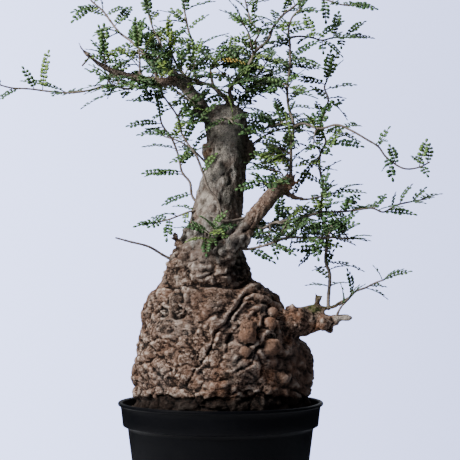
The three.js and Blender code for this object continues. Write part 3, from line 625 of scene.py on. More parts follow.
# How far apart a stem's own small leaves grow, and from which share of its length.
USUAL_LEAVES = [7, 0.15]
STEM_LEAVES = {
    "knobBranchlet": [40, 0.5],
    "knobMossy": [16, 0.4],
    "crownFront": [20, 0.5],
    "leftLong": [22, 0.1],
    "upperLeft": [8.5, 0.1],
    "trunkLeft": [17, 0.3],
    "trunkFront": [15, 0.3],
    "backMiddle": [13, 0.4],
    "knobUpright": [9.5, 0.1],
    "limbLong": [9, 0.2],
    "farRight": [26, 0.15],
    "limbLow": [7, 0.2],
    "tallRight": [7, 0.06],
    "crownRising": [7, 0.12],
}

# More leaf tips that the picture shows, as x and z, and how long such a leaf may be.
EXTRA_TIPS = {
    "leftLong": [[-122, 371], [-140, 370]],
    "antlerShoot": [[-80, 392], [-74, 386], [-50, 398]],
    "antlerSpray": [[-76, 394], [-104, 398], [-80, 400]],
    "upperLeft": [[-115, 428], [-60, 422], [-91, 412], [-85, 398], [-70, 400], [-62, 412]],
    "crownUpright": [[-46, 428], [-7, 406], [-34, 430], [-36, 412]],
    "youngShoot": [[-36, 406], [-48, 392], [-28, 412]],
    "crownRising": [[6, 408], [35, 390], [24, 420], [54, 420], [20, 410]],
    "tallRight": [
        [34, 352], [50, 362], [71, 360], [77, 382], [68, 398], [42, 412], [40, 396], [47, 383],
        [32, 340],
    ],
    "tallRightSpray": [[105, 420], [94, 408], [80, 404]],
    "farRight": [[157, 326], [150, 322], [75, 356], [92, 354]],
    "knobUpright": [
        [110, 330], [89, 312], [58, 250], [73, 234], [68, 222], [98, 237], [64, 372], [96, 368],
        [98, 345],
    ],
    "limbLong": [[84, 296], [130, 288], [60, 284], [72, 290], [52, 262], [166, 288], [78, 268]],
    "limbLow": [[80, 268], [90, 252], [77, 250], [44, 244], [55, 250], [66, 268], [108, 261]],
    "trunkLeft": [[-60, 340], [-24, 335], [-58, 307]],
    "trunkFront": [[-54, 350], [-10, 330]],
    "knobMossy": [[120, 236]],
}
EXTRA_LENGTHS = (10, 42)
EXTRA_DEPTHS = (-8, 8)
EXTRA_LEAF_ROLL = 0.6

# Thick masses of leaves: x, z and depth ranges, and how many side twigs grow into each.
MASSES = {
    "left_crown": [
        [[-92, -50], [372, 408], [-34, 22], 15],
        [[-58, -14], [370, 412], [-34, 30], 15],
    ],
    "middle_crown": [
        [[-18, 30], [372, 402], [-26, 34], 14],
        [[-8, 20], [360, 368], [-22, -6], 1],
        [[-24, -10], [342, 360], [-34, -20], 3],
        [[14, 56], [372, 400], [-24, 28], 8],
        [[-20, 34], [340, 372], [14, 46], 6],
    ],
    "right_crown": [
        [[28, 54], [318, 352], [-30, 16], 9],
        [[28, 52], [300, 320], [-30, -6], 6],
        [[44, 78], [312, 350], [-34, 10], 5],
        [[36, 76], [246, 262], [-40, -10], 3],
        [[48, 80], [262, 284], [-40, -8], 4],
        [[76, 98], [258, 280], [-40, -14], 4],
        [[-10, 8], [254, 268], [-44, -38], 2],
        [[24, 60], [250, 284], [20, 56], 4],
    ],
}
SHORTEST_TWIG = 9
SIDE_TWIG_STEP = 1.3
SIDE_TWIG_SIDES = 5
SIDE_TWIG_BEND = [(-4, 4), (-4, 4), (-2, 5)]
SIDE_TWIG_RADII = (0.75, 0.4)
SIDE_TWIG_LEAVES = (4.8, 0.12)

# The colour sockets of a mix node.
MIX_FIRST = 6
MIX_SECOND = 7
MIX_RESULT = 2


# Geometry helpers


def seen(point):
    """A point of a route, carried back along the line of sight."""
    x, z, depth = point
    spread = 1 + depth / VIEWER_DISTANCE
    return np.array([
        VIEWER_X + (x - VIEWER_X) * spread,
        depth,
        VIEWER_Z + (z - VIEWER_Z) * spread,
    ])


def smoothstep(value, low, high):
    share = np.clip((value - low) / (high - low), 0, 1)
    return share * share * (3 - 2 * share)


def band(value, start, full, fading, end):
    """0 outside a span and 1 in its middle, with soft ends."""
    return smoothstep(value, start, full) * (1 - smoothstep(value, fading, end))


def bell(value):
    """1 at zero, fading to both sides."""
    return np.exp(-(value ** 2))


def unit(vector):
    return vector / np.linalg.norm(vector)


class Route:
    """A smooth curve through points, spaced by the square root of their distances."""

    def __init__(self, points):
        self.points = np.array(points, float)

    def at(self, share):
        last = len(self.points) - 1
        place = min(max(share, 0), 1) * last
        index = min(int(place), last - 1)
        weight = place - index
        b, c = self.points[index], self.points[index + 1]
        a = self.points[index - 1] if index > 0 else 2 * b - c
        d = self.points[index + 2] if index + 2 <= last else 2 * c - b
        gaps = [max(np.linalg.norm(q - p) ** 0.5, 1e-4) for p, q in ((a, b), (b, c), (c, d))]
        first = (b - a) / gaps[0] - (c - a) / (gaps[0] + gaps[1]) + (c - b) / gaps[1]
        second = (c - b) / gaps[1] - (d - b) / (gaps[1] + gaps[2]) + (d - c) / gaps[2]
        first, second = first * gaps[1], second * gaps[1]
        square, cube = weight ** 2, weight ** 3
        return (
            b
            + first * weight
            + (3 * (c - b) - 2 * first - second) * square
            + (2 * (b - c) + first + second) * cube
        )

    def length(self):
        return float(np.linalg.norm(np.diff(self.points, axis=0), axis=1).sum())

    def samples(self, step):
        count = max(3, math.ceil(self.length() / step)) + 1
        return np.array([self.at(share) for share in np.linspace(0, 1, count)])


def seen_samples(route, step):
    """Evenly numbered points along a route that is written as seen from the front."""
    return Route([seen(point) for point in route]).samples(step)


def radii_along(radii, centres):
    """A radius for each centre, from a few that are evenly spaced."""
    return np.interp(np.linspace(0, 1, len(centres)), np.linspace(0, 1, len(radii)), radii)


def lengths_along(centres):
    """How far each centre is along its line."""
    return np.concatenate([[0], np.cumsum(np.linalg.norm(np.diff(centres, axis=0), axis=1))])


def round_angles(count):
    return np.linspace(0, 2 * math.pi, count, endpoint=False)


def oval(angles, half, depth, height):
    """Points of a level oval round the upright axis."""
    return np.stack([np.cos(angles) * half, np.sin(angles) * depth, np.full(len(angles), height)], axis=1)


class Shell:
    """Corners and faces in millimetres, gathered part by part, with a value or two at each corner."""

    def __init__(self):
        self.corners = []
        self.faces = []
        self.slots = []
        self.values = []
        self.count = 0

    def add(self, corners, faces, slot=0, value=0.0):
        corners = np.asarray(corners, float)
        self.corners.append(corners)
        self.faces.extend([tuple(self.count + i for i in face) for face in faces])
        self.slots.extend([slot] * len(faces))
        self.values.append(np.broadcast_to(value, len(corners)))
        self.count += len(corners)

    def piece(self, name, materials, value_name=None, smooth=True):
        mesh = bpy.data.meshes.new(name)
        mesh.from_pydata((np.vstack(self.corners) * MM).tolist(), [], self.faces)
        for material in materials:
            mesh.materials.append(material)
        mesh.polygons.foreach_set("material_index", self.slots)
        mesh.polygons.foreach_set("use_smooth", [smooth] * len(self.faces))
        if value_name:
            store(mesh, value_name, np.concatenate(self.values))
        mesh.update()
        thing = bpy.data.objects.new(name, mesh)
        bpy.context.scene.collection.objects.link(thing)
        return thing


def store(mesh, name, values):
    layer = mesh.attributes.new(name, "FLOAT", "POINT")
    layer.data.foreach_set("value", np.asarray(values, np.float32))


def ring_faces(rings, sides):
    """Faces of a closed tube whose rings are followed by its two end points."""
    faces = []
    start, end = rings * sides, rings * sides + 1
    top = (rings - 1) * sides
    for ring in range(rings - 1):
        low, high = ring * sides, (ring + 1) * sides
        for i in range(sides):
            j = (i + 1) % sides
            faces.append((low + i, low + j, high + j, high + i))
    for i in range(sides):
        j = (i + 1) % sides
        faces.append((start, j, i))
        faces.append((end, top + i, top + j))
    return faces


def tube(centres, radii, sides):
    """A closed round tube along its centres."""
    centres = np.asarray(centres, float)
    tangents = np.gradient(centres, axis=0)
    across = np.array(FIRST_ACROSS)
    turns = round_angles(sides)
    rings = []
    for centre, tangent, radius in zip(centres, tangents, radii):
        tangent = unit(tangent)
        across = unit(across - tangent * (across @ tangent))
        other = np.cross(tangent, across)
        round_it = np.outer(np.cos(turns), across) + np.outer(np.sin(turns), other)
        rings.append(centre + radius * round_it)
    first = centres[0] - unit(tangents[0]) * radii[0] * FOOT_ROUNDING
    last = centres[-1] + unit(tangents[-1]) * radii[-1] * TIP_ROUNDING
    return np.vstack([*rings, first[None], last[None]]), ring_faces(len(centres), sides)


# Noise that is the same on every run


def scatter(cells, seed):
    """A repeatable number from 0 to 1 for every whole-number cell."""
    cells = cells.astype(np.int64)
    mixed = cells[..., 0] * 73856093 ^ cells[..., 1] * 19349663 ^ cells[..., 2] * 83492791 ^ seed * 2654435761
    mixed &= 0xFFFFFFFF
    mixed = ((mixed ^ (mixed >> 13)) * 1274126177) & 0xFFFFFFFF
    mixed ^= mixed >> 16
    return mixed / 0xFFFFFFFF


def smooth_noise(points, seed):
    """Soft noise, mostly from -1 to 1, with features about one unit wide."""
    base = np.floor(points)
    part = points - base
    blend = part ** 3 * (part * (part * 6 - 15) + 10)
    total = np.zeros(len(points))
    for corner in np.ndindex(2, 2, 2):
        cell = base + corner
        slope = np.stack([scatter(cell, seed + 57 * k) for k in range(3)], axis=1) * 2 - 1
        weight = np.prod(np.where(corner, blend, 1 - blend), axis=1)
        total += weight * np.sum(slope * (part - corner), axis=1)
    return 1.9 * total


def layered_noise(points, seed, layers=3):
    total, strength = 0, 1
    for layer in range(layers):
        total = total + strength * smooth_noise(points * 2.03 ** layer, seed + layer)
        points = points @ TURNED
        strength *= 0.5
    return total / 1.6


def cell_noise(points, seed):
    """Distances to the nearest and the second nearest scattered seed, one seed in each unit cell."""
    base = np.floor(points)
    nearest = np.full(len(points), 9.0)
    second = np.full(len(points), 9.0)
    for step in np.ndindex(3, 3, 3):
        cell = base + np.array(step) - 1
        spot = cell + np.stack([scatter(cell, seed + k) for k in range(3)], axis=1)
        distance = np.linalg.norm(spot - points, axis=1)
        closer = distance < nearest
        second = np.where(closer, nearest, np.minimum(second, distance))
        nearest = np.where(closer, distance, nearest)
    return nearest, second


def cobbles(points, size, seed, edge):
    """Rounded lumps of about that size, from 0 in the cracks to 1 on top."""
    nearest, second = cell_noise(points / size, seed)
    return smoothstep(second - nearest, 0.0, edge) * (1 - 0.35 * nearest)


def crusts(points, sizes, heights, seed):
    """Rough lumps at several sizes at once, with sharp creases between them."""
    total = 0
    for size, height in zip(sizes, heights):
        total = total + height * np.abs(smooth_noise(points / size, seed))
        points = points @ TURNED + 13.7
        seed += 1
    return total


def line_distance(spots, line):
    """How far each two-dimensional spot is from a bent line."""
    best = np.full(len(spots), 1e9)
    for start, end in zip(np.array(line[:-1], float), np.array(line[1:], float)):
        span = end - start
        share = np.clip((spots - start) @ span / (span @ span), 0, 1)
        best = np.minimum(best, np.linalg.norm(spots - start - share[:, None] * span, axis=1))
    return best


# Wood


def trunk_folds(angle, height):
    """The frame's own folds: an angle of a quarter turn faces the front."""
    fade = smoothstep(height, *FOLDS_RISE)
    girth = THIN_SHARE + (1 - THIN_SHARE) * (1 - smoothstep(height, *THIN_BARK_RISE))
    waves = sum(np.sin(count * angle + height / climb) for count, climb in RIDGES)
    fold = FOLD_DEPTH * np.maximum(0, np.sin(angle)) * bell((height - FOLD_HEIGHT) / FOLD_SPREAD)
    return fade * (girth * LUMP * waves - fold)


def lofted(sections, sides, rows, folds=None):
    """A closed body through stacked oval sections."""
    edges = Route([[left, right, height] for height, left, right, depth in sections])
    depths = Route([[depth, 0, height] for height, left, right, depth in sections])
    angles = round_angles(sides)
    rings = []
    for share in np.linspace(1, 0, rows + 1):
        left, right, height = edges.at(share)
        depth = depths.at(share)[0]
        swell = folds(angles, height) if folds else 0
        ring = oval(angles, (right - left) / 2 + swell, -(depth + swell), height)
        rings.append((ring + [(left + right) / 2, 0, 0])[::-1])
    corners = np.vstack([*rings, rings[0].mean(0)[None], rings[-1].mean(0)[None]])
    return corners, ring_faces(len(rings), sides)


def ball(centre, halves, around=20, up=12):
    """A closed egg."""
    tilts = np.linspace(-math.pi / 2, math.pi / 2, up + 2)[1:-1]
    rings = [oval(round_angles(around), math.cos(tilt), math.cos(tilt), math.sin(tilt)) for tilt in tilts]
    corners = np.vstack([*rings, [[0, 0, -1]], [[0, 0, 1]]])
    return corners * halves + centre, ring_faces(len(rings), around)


def wood_parts():
    """The swollen base, the trunk and the thick limbs, as overlapping closed bodies."""
    parts = Shell()
    parts.add(*lofted(BODY_SECTIONS + [BURIED_EDGE], BODY_SIDES, BODY_ROWS, trunk_folds))
    for name, (radii, route) in LIMBS.items():
        if name in THIN_LIMBS:
            continue
        centres = seen_samples(route, LIMB_STEP)
        knobbly = radii_along(radii, centres) * (1 + LIMB_KNOBS * layered_noise(centres / 6 + 40, 3, 2))
        parts.add(*tube(centres, np.maximum(knobbly, THINNEST_LIMB), LIMB_SIDES))
    for (x, z, depth), halves in TRUNK_BURLS + BASE_BURLS + KNUCKLES:
        parts.add(*ball(np.array([x, depth, z]), np.array(halves, float)))
    for x, z, radius in WARTS:
        parts.add(*ball(wart_place(x, z, radius), radius))
    for route in SPLINTERS:
        centres = seen_samples(route, SPLINTER_STEP)
        parts.add(*tube(centres, radii_along(SPLINTER_RADII, centres), SPLINTER_SIDES))
    return parts


def evaluated(piece):
    """The piece's mesh with its modifiers applied."""
    graph = bpy.context.evaluated_depsgraph_get()
    mesh = bpy.data.meshes.new_from_object(piece.evaluated_get(graph))
    piece.modifiers.clear()
    piece.data = mesh
    return mesh


def read(items, name, width, kind=float):
    """Numbers of a mesh's items, in rows of that width."""
    flat = np.empty(len(items) * width, kind)
    items.foreach_get(name, flat)
    return flat.reshape(-1, width)


def move_to(mesh, points):
    mesh.vertices.foreach_set("co", (points * MM).ravel())
    mesh.update()


def neighbour_mean(edges, values, rounds):
    """Each corner's value, averaged with its neighbours' over and over."""
    count = len(values)
    ends = np.concatenate([edges[:, 1], edges[:, 0]])
    starts = np.concatenate([edges[:, 0], edges[:, 1]])
    degree = np.bincount(starts, minlength=count)
    for _ in range(rounds):
        columns = values if values.ndim > 1 else values[:, None]
        sums = [np.bincount(starts, weights=column[ends], minlength=count) for column in columns.T]
        mean = np.stack(sums, axis=1) / degree[:, None]
        values = 0.5 * values + 0.5 * (mean if values.ndim > 1 else mean[:, 0])
    return values


def twisted(points, squeeze):
    """Space wound round the axis, so that what is long in it climbs to the right on the front."""
    angle = -points[:, 2] / TWIST
    x, y = points[:, 0], points[:, 1]
    return np.stack([
        x * np.cos(angle) - y * np.sin(angle),
        x * np.sin(angle) + y * np.cos(angle),
        points[:, 2] * squeeze,
    ], axis=1)


def body_oval(height):
    """The wood's middle, half width and half depth at a height."""
    heights, *columns = zip(*sorted(BODY_SECTIONS + ROOT_SECTIONS))
    left, right, depth = [np.interp(height, heights, column) for column in columns]
    return (left + right) / 2, (right - left) / 2, depth


def wart_place(x, z, radius):
    """The middle of a wart that stands out of the body's front at x and z."""
    middle, half, depth = body_oval(z)
    front = -depth * math.sqrt(max(0, 1 - ((x - middle) / half) ** 2))
    return np.array([x, front, z]) + [0, -WART_STAND * radius, 0]


def wart_reach(points):
    """How far each point is from the nearest smooth wart, as a share of the wart's radius."""
    reach = np.full(len(points), 9.0)
    for x, z, radius in WARTS:
        reach = np.minimum(reach, np.linalg.norm(points - wart_place(x, z, radius), axis=1) / radius)
    return reach


def front_share(points):
    """1 on the front of the tree, fading to 0 at its sides."""
    return smoothstep(-points[:, 1], *FRONT_RISE)


def over_ledge(points):
    """How far each point is above the ragged ledge over the potting mix."""
    x, y, z = points.T
    return z + LEDGE_CLIMB * y - LEDGE_HEIGHT + 2.8 * layered_noise(points / 12, 109, 4)


def recess_share(points, x, z, reach):
    """1 in the middle of a hollow of the front, fading to 0."""
    return bell(np.linalg.norm(points[:, [0, 2]] - [x, z], axis=1) / reach)


def soft_share(points):
    """1 on the low right of the front, where the bark is soft and shaded, fading to 0."""
    x, y, z = points.T
    return front_share(points) * smoothstep(x, 32, 48) * (1 - smoothstep(z, 168, 182))


def knot_relief(points, x, z, radius):
    """An old knot of the front: its ring-shaped pit, and the relief of its pit, middle and rim."""
    reach = np.linalg.norm((points[:, [0, 2]] - [x, z]) * KNOT_STRETCH, axis=1) / radius
    reach = reach + 0.3 * layered_noise(points / 3.4, 211, 2)
    slits = smoothstep(np.abs(smooth_noise(points / [3.2, 3.2, 1.7], 217)), 0.3, 0.05)
    broken = smoothstep(smooth_noise(points / 4.4, 219), -0.45, 0.15)
    pit = bell((reach - 0.74) / 0.26) * (0.25 + 0.75 * broken)
    pit = np.maximum(pit, 0.8 * slits * (1 - smoothstep(reach, 0.5, 0.9)))
    rim = bell((reach - 1.25) / 0.25)
    return pit, KNOT_RIM * rim - KNOT_DEPTH * pit


def base_bark(points, loose, crust, to_sweep):
    """Lumps of the swollen base, with ridges that wind up over its right shoulder."""
    x, y, z = points.T
    front = front_share(points)
    low = 1 - smoothstep(z + 0.25 * x, *LOW_BARK_END)
    swept = front * smoothstep(x, -14, 20) * (1 - smoothstep(z, 216, 226))
    forms = crusts(loose * [0.95, 0.95, 1.1], *FORMS)
    ridges = crusts(twisted(loose, 0.42), *WOUND_RIDGES)
    squat = loose * [1, 1, 1.45]
    lumps = 0.85 * cobbles(squat, 17, 11, 0.8) + 0.42 * cobbles(squat, 17, 11, 0.13)
    lumps = lumps + 0.3 * cobbles(loose, 8, 17, 0.7)
    bark = crust + (1 - 0.45 * low) * forms + (1 - low) * (0.2 + 0.8 * swept) * ridges
    bark = bark + LOW_LUMP_HEIGHT * low * lumps
    soft = soft_share(points)
    bark = bark * (1 - 0.8 * soft) + SOFT_LUMP_HEIGHT * soft * cobbles(loose * [1, 1, 1.3], 15, 29, 0.9)
    calm = front * smoothstep(x, -22, -8) * band(z, 204, 213, 221, 226)
    bark = bark * (1 - 0.5 * calm) + 1.2 * calm
    over_fold = band(z, 224, 232, 264, 280)
    bark = bark + NECK_LUMP_HEIGHT * over_fold * cobbles(loose * [1, 1, 1.25], 9.5, 23, 0.65)
    return bark * (1 - 0.6 * swept * bell(to_sweep / SWEEP_REACH))


def trunk_bark(points, loose, crust):
    """Streaks, pits and fine flakes of the trunk, rougher round its two burls."""
    streaks = layered_noise(loose * [0.3, 0.3, 0.06], 43, 3)
    pits = smoothstep(smooth_noise(points / 3.4, 47), 0.5, 0.75)
    bark = 1.1 * streaks - 0.35 * pits + crusts(loose * [1, 1, 0.5], *TRUNK_FLAKES)
    for (x, z, y), halves in TRUNK_BURLS:
        away = np.linalg.norm((points - [x, y, z]) / halves, axis=1)
        bark = bark + 1.6 * crust * (1 - smoothstep(away, 0.9, 1.4))
    return bark


def front_marks(points, height, spots, sweeps, trunk):
    """The bark's height with the creases, sweeping folds, shadow line, hollows and knots of the front."""
    x, y, z = points.T
    front = front_share(points)
    for line in CREASES:
        height = height - CREASE_DEPTH * front * (1 - trunk) * bell(line_distance(spots, line) / CREASE_WIDTH)
    for away in sweeps:
        height = height + SWEEP_HEIGHT * front * bell(away / SWEEP_WIDTH)
    height = height - SHADOW_DEPTH * front * bell(line_distance(spots, SHADOW_LINE) / SHADOW_WIDTH)
    for *hollow, depth in RECESSES:
        height = height - depth * front * recess_share(points, *hollow)
    for knot in KNOTS:
        near = np.exp(-((np.hypot(x - knot[0], z - knot[1]) / knot[2] / 1.5) ** 4))
        height = height * (1 - KNOT_CALM * front * near) + front * knot_relief(points, *knot)[1]
    return height


def bark_relief(points):
    """Height of the bark over the smooth wood in millimetres."""
    x, y, z = points.T
    warp = np.stack([layered_noise(points / 12 + 7 * k, 60 + k, 2) for k in range(3)], axis=1)
    loose = points + WARP_REACH * warp
    spots = points[:, [0, 2]] + LINE_WARP * warp[:, :2]
    sweeps = [line_distance(spots, line) for line in SWEEPS]
    crust = crusts(loose * [0.75, 0.75, 1.1], *CRUST)
    trunk = smoothstep(z, *TRUNK_RISE)
    knob = smoothstep(x, 44, 52) * band(z, 176, 184, 206, 214)
    height = (1 - trunk) * base_bark(points, loose, crust, np.minimum.reduce(sweeps))
    height = height + trunk * trunk_bark(points, loose, crust)
    height = (1 - knob) * height + knob * crusts(loose, *KNOB_LUMPS)
    height = front_marks(points, height, spots, sweeps, trunk)
    height = height - LEDGE_DEPTH * (1 - smoothstep(over_ledge(points), -2.5, 0))
    reach = wart_reach(points)
    rough = smoothstep(reach, *WART_EDGE)
    height = rough * height + (1 - rough) * (0.22 * crust + WART_HEIGHT)
    height = height - WART_GROOVE * bell((reach - WART_EDGE[1]) / 0.16)
    return height * smoothstep(z, *BARK_FOOT)


def trunk_share(points):
    """How grey the bark is: 1 on the trunk, less on brown wood and 0 on the swollen base."""
    x, y, z = points.T
    brown = np.maximum(smoothstep(x, 14, 24) * (1 - smoothstep(z, 310, 318)), smoothstep(-x, 20, 36))
    return smoothstep(z, 214, 262) * (1 - 0.55 * brown)


def wood_piece(material):
    """The wood as one skin with its bark raised on it, and what colours the bark, at each corner."""
    piece = wood_parts().piece("bark_wood", [material])
    shell = piece.modifiers.new("shell", "REMESH")
    shell.mode = "VOXEL"
    shell.voxel_size = VOXEL
    mesh = evaluated(piece)
    edges = read(mesh.edges, "vertices", 2, np.int64)
    points = neighbour_mean(edges, read(mesh.vertices, "co", 3) / MM, 2)
    move_to(mesh, points)
    outward = read(mesh.vertex_normals, "vector", 3)
    height = bark_relief(points)
    trunk = trunk_share(points)
    level = neighbour_mean(edges, height, LEVEL_ROUNDS)
    height = (height - LEVELLED * level - BARK_SINK * (1 - trunk)) * (1 - LIMB_CALM * limb_share(points))
    mesh.polygons.foreach_set("use_smooth", [True] * len(mesh.polygons))
    move_to(mesh, points + outward * height[:, None])
    fine = height - neighbour_mean(edges, height, 2)
    small = height - neighbour_mean(edges, height, 8)
    large = height - 0.2 * level
    layers = {
        # Relief: low in pits and cracks, high on lumps; the bark material paints shade and light with it.
        "relief": np.clip(0.61 + 0.26 * fine + 0.34 * small + 0.12 * large, 0, 1),
        "trunk": trunk,
        "rust": rust_share(points),
        "moss": moss_share(points, outward),
        # Pale wood, and painted light on the trunk's pale patches.
        "pale": spot_share(points, PALE_SPOTS),
        # A darker band over the mix, and painted shade in the hollows, the knots' pits and the low right.
        "dark_band_and_painted_shade": dark_band_and_painted_shade_share(points),
        "smooth": smooth_share(points),
    }
    for name, values in layers.items():
        store(mesh, name, values)
    mesh.materials.clear()
    mesh.materials.append(material)
    return piece


def smooth_share(points):
    """Where the bark has little crust: on the warts, low on the right and on the thick right limb."""
    warts = 1 - smoothstep(wart_reach(points), 0.9, 1.15)
    limb = smoothstep(points[:, 0], 14, 26) * smoothstep(points[:, 2], 238, 254)
    return np.maximum.reduce([warts, 0.75 * soft_share(points), 0.6 * limb])


def dark_band_and_painted_shade_share(points):
    """A darker ragged band over the mix, and painted shade in the hollows, the knots' pits and the low right
    of the front.
    """
    low_band = 1 - smoothstep(over_ledge(points), -3, 0)
    painted_hollow_shade = [0.75 * recess_share(points, *hollow) for *hollow, depth in RECESSES]
    painted_hollow_shade += [0.95 * knot_relief(points, *knot)[0] for knot in KNOTS]
    painted_hollow_shade = front_share(points) * np.maximum.reduce(painted_hollow_shade)
    return np.maximum.reduce([low_band, painted_hollow_shade, 0.45 * soft_share(points)])


def limb_share(points):
    """1 on thin limbs, where the bark lies close, and 0 on the thick wood."""
    x, y, z = points.T
    away = np.maximum(smoothstep(x, 24, 34), smoothstep(-x, 26, 36))
    high = smoothstep(z, 262, 280) * np.maximum(away, smoothstep(z, 352, 362))
    knob_end = smoothstep(x, 70, 84)
    mossy = smoothstep(x, 58, 66) * smoothstep(z, 201, 206)
    return np.maximum.reduce([high, knob_end, mossy])


def rust_share(points):
    """Rusty patches, most of all low on the right, and the rusty spots."""
    x, y, z = points.T
    patches = smoothstep(layered_noise(points / 14, 81, 3), 0.05, 0.5)
    low_right = smoothstep(x - 0.6 * (z - 150), -30, 30) * (1 - smoothstep(z, 200, 235))
    share = patches * (0.25 + 0.75 * low_right) * (1 - smoothstep(z, 240, 280))
    return np.maximum(share, spot_share(points, RUSTY_SPOTS))


def moss_share(points, outward):
    """Moss on top of the knob's branch, and a green tinge high on the trunk."""
    near = np.full(len(points), 1e9)
    for name in MOSSY_LIMBS:
        for place in seen_samples(LIMBS[name][1], 3):
            near = np.minimum(near, np.linalg.norm(points - place, axis=1))
    crown = smoothstep(points[:, 2], 300, 350) * smoothstep(layered_noise(points / 8, 91, 3), 0.1, 0.55)
    patches = smoothstep(layered_noise(points / 5, 97, 2), -0.5, 0.2)
    top = smoothstep(outward[:, 2], -0.3, 0.5)
    return np.maximum((1 - smoothstep(near, 3.5, 7)) * patches * top, 0.3 * crown)


def spot_share(points, spots):
    """1 in the middle of each spot and 0 from its rim on, with a ragged edge."""
    share = np.zeros(len(points))
    for x, z, depth, radius in spots:
        away = np.linalg.norm(points - seen([x, z, depth]), axis=1)
        share = np.maximum(share, 1 - smoothstep(away, 0.4 * radius, radius))
    return share * smoothstep(layered_noise(points / 6, 103, 2), -0.5, 0.15)


def twig_radii(centres, radii, seed):
    """Thickness of a twig with old leaf scars along it."""
    scars = np.maximum(0, np.cos(lengths_along(centres) * 2 * math.pi / SCAR_SPACING + seed)) ** 6
    lumps = layered_noise(centres / 2.3 + seed, 5, 2)
    return radii * (1 + 0.22 * scars + 0.12 * lumps)


def root_crown(material):
    """The buried end of the swollen base, sunk into it and plain."""
    roots = Shell()
    roots.add(*lofted([ROOT_TOP] + ROOT_SECTIONS, ROOT_SIDES, ROOT_ROWS))
    return roots.piece("root_crown", [material])


def bare_twigs(material):
    """Thin leafless wood, too slender for the remeshed trunk."""
    twigs = Shell()
    for seed, name in enumerate(THIN_LIMBS):
        radii, route = LIMBS[name]
        centres = seen_samples(route, BARE_TWIG_STEP)
        twigs.add(*tube(centres, twig_radii(centres, radii_along(radii, centres), seed), BARE_TWIG_SIDES))
    return twigs.piece("bare_twigs", [material])


# Leaves


def leaflet(shell, foot, along, side, face, length, width, youth):
    """A small closed obovate leaflet, cupped a little along its midrib."""
    rim = np.array(LEAFLET_RIM)
    lift = LEAFLET_CUP * width * np.abs(rim[:, 1])
    corners = foot + np.outer(rim[:, 0] * length, along) + np.outer(rim[:, 1] * width / 2, side)
    corners = corners + np.outer(lift, face)
    heart = foot + along * length * LEAFLET_HEART
    thick = face * LEAFLET_THICKNESS / 2
    count = len(rim)
    faces = []
    for i in range(count):
        j = (i + 1) % count
        faces.append((i, j, count))
        faces.append((j, i, count + 1))
    shell.add(np.vstack([corners, heart + thick, heart - thick]), faces, LEAF_SLOT, youth)


def pinnate_leaf(shell, foot, tip, random, roll, youth):
    """A leaf on a thin stalk, with leaflets in pairs and one at its end."""
    length = np.linalg.norm(tip - foot)
    ahead = (tip - foot) / length
    facing = np.array(LEAF_FACING)
    lift = unit(facing - ahead * (facing @ ahead))
    lift = unit(lift * math.cos(roll) + np.cross(ahead, lift) * math.sin(roll))
    middle = (foot + tip) / 2 + lift * LEAF_RISE * length

    def rib(share):
        return (1 - share) ** 2 * foot + 2 * share * (1 - share) * middle + share ** 2 * tip

    shares = np.linspace(0, STALK_END, STALK_RINGS)
    centres = np.array([rib(share) for share in shares])
    shell.add(*tube(centres, np.interp(shares, [0, 1], STALK_RADII), STALK_SIDES), STALK_SLOT, youth)
    pairs = max(3, round(length * (1 - BARE_SHARE) / LEAFLET_SPACING))
    size = min(LARGEST_SIZE, 0.76 + length / 70) * (1 - YOUNG_SHRINK * youth)
    for pair in range(pairs):
        share = BARE_SHARE + (1 - BARE_SHARE) * (pair + 0.15) / (pairs + 0.35)
        tangent = unit(rib(share + 0.02) - rib(share - 0.02))
        side = unit(np.cross(lift, tangent))
        up = np.cross(tangent, side)
        taper = 1 - LEAFLET_TAPER * abs(share - LARGEST_AT) / 0.45
        for hand in (-1, 1):
            if random.random() < MISSING_LEAFLETS:
                continue
            lean = random.uniform(*LEAFLET_LEAN)
            droop = random.uniform(*LEAFLET_DROOP)
            out = side * hand * math.cos(lean) + tangent * math.sin(lean)
            out = unit(out + up * droop)
            face = unit(up - out * (up @ out) + side * random.uniform(-LEAFLET_TILT, LEAFLET_TILT))
            reach = size * taper * random.uniform(*LEAFLET_SIZES)
            start = rib(share + random.uniform(-0.012, 0.012)) + out * 0.15
            sizes = LEAFLET_LENGTH * reach, LEAFLET_WIDTH * reach
            leaflet(shell, start, out, np.cross(face, out), face, *sizes, youth)
    tangent = unit(rib(1.0) - rib(END_LEAFLET_AT))
    side = unit(np.cross(lift, tangent))
    sizes = LEAFLET_LENGTH * size * END_LEAFLET[0], LEAFLET_WIDTH * size * END_LEAFLET[1]
    leaflet(shell, rib(END_LEAFLET_AT), tangent, side, np.cross(tangent, side), *sizes, youth)


def leaf_to(shell, foot, tip, random, most_roll):
    """A leaf with a random roll, as young as its place asks for."""
    roll = random.uniform(-most_roll, most_roll)
    pinnate_leaf(shell, foot, tip, random, roll, leaf_youth(tip, random))


def leaf_youth(place, random):
    """How young and yellow a leaf is: fresh near the growing tips, and mostly old elsewhere."""
    for x, z, depth, radius, youth in FRESH_SPOTS:
        if np.linalg.norm(place[[0, 2]] - seen([x, z, depth])[[0, 2]]) < radius:
            return youth * random.uniform(0.75, 1)
    return random.choice(COMMON_YOUTH)


def has_room(tip):
    """Whether a leaf tip is well inside the frame's box, and outside the trunk and the swollen base."""
    low, high = np.array(CAD_BOX) / MM
    if not (np.all(tip > low + BOX_MARGIN) and np.all(tip < high - BOX_MARGIN)):
        return False
    x, y, z = tip
    if z > BODY_SECTIONS[0][0] or z < BODY_SECTIONS[-1][0]:
        return z > MIX_TOP
    middle, half, depth = body_oval(z)
    return ((x - middle) / (half + WOOD_MARGIN)) ** 2 + (y / (depth + WOOD_MARGIN)) ** 2 > 1


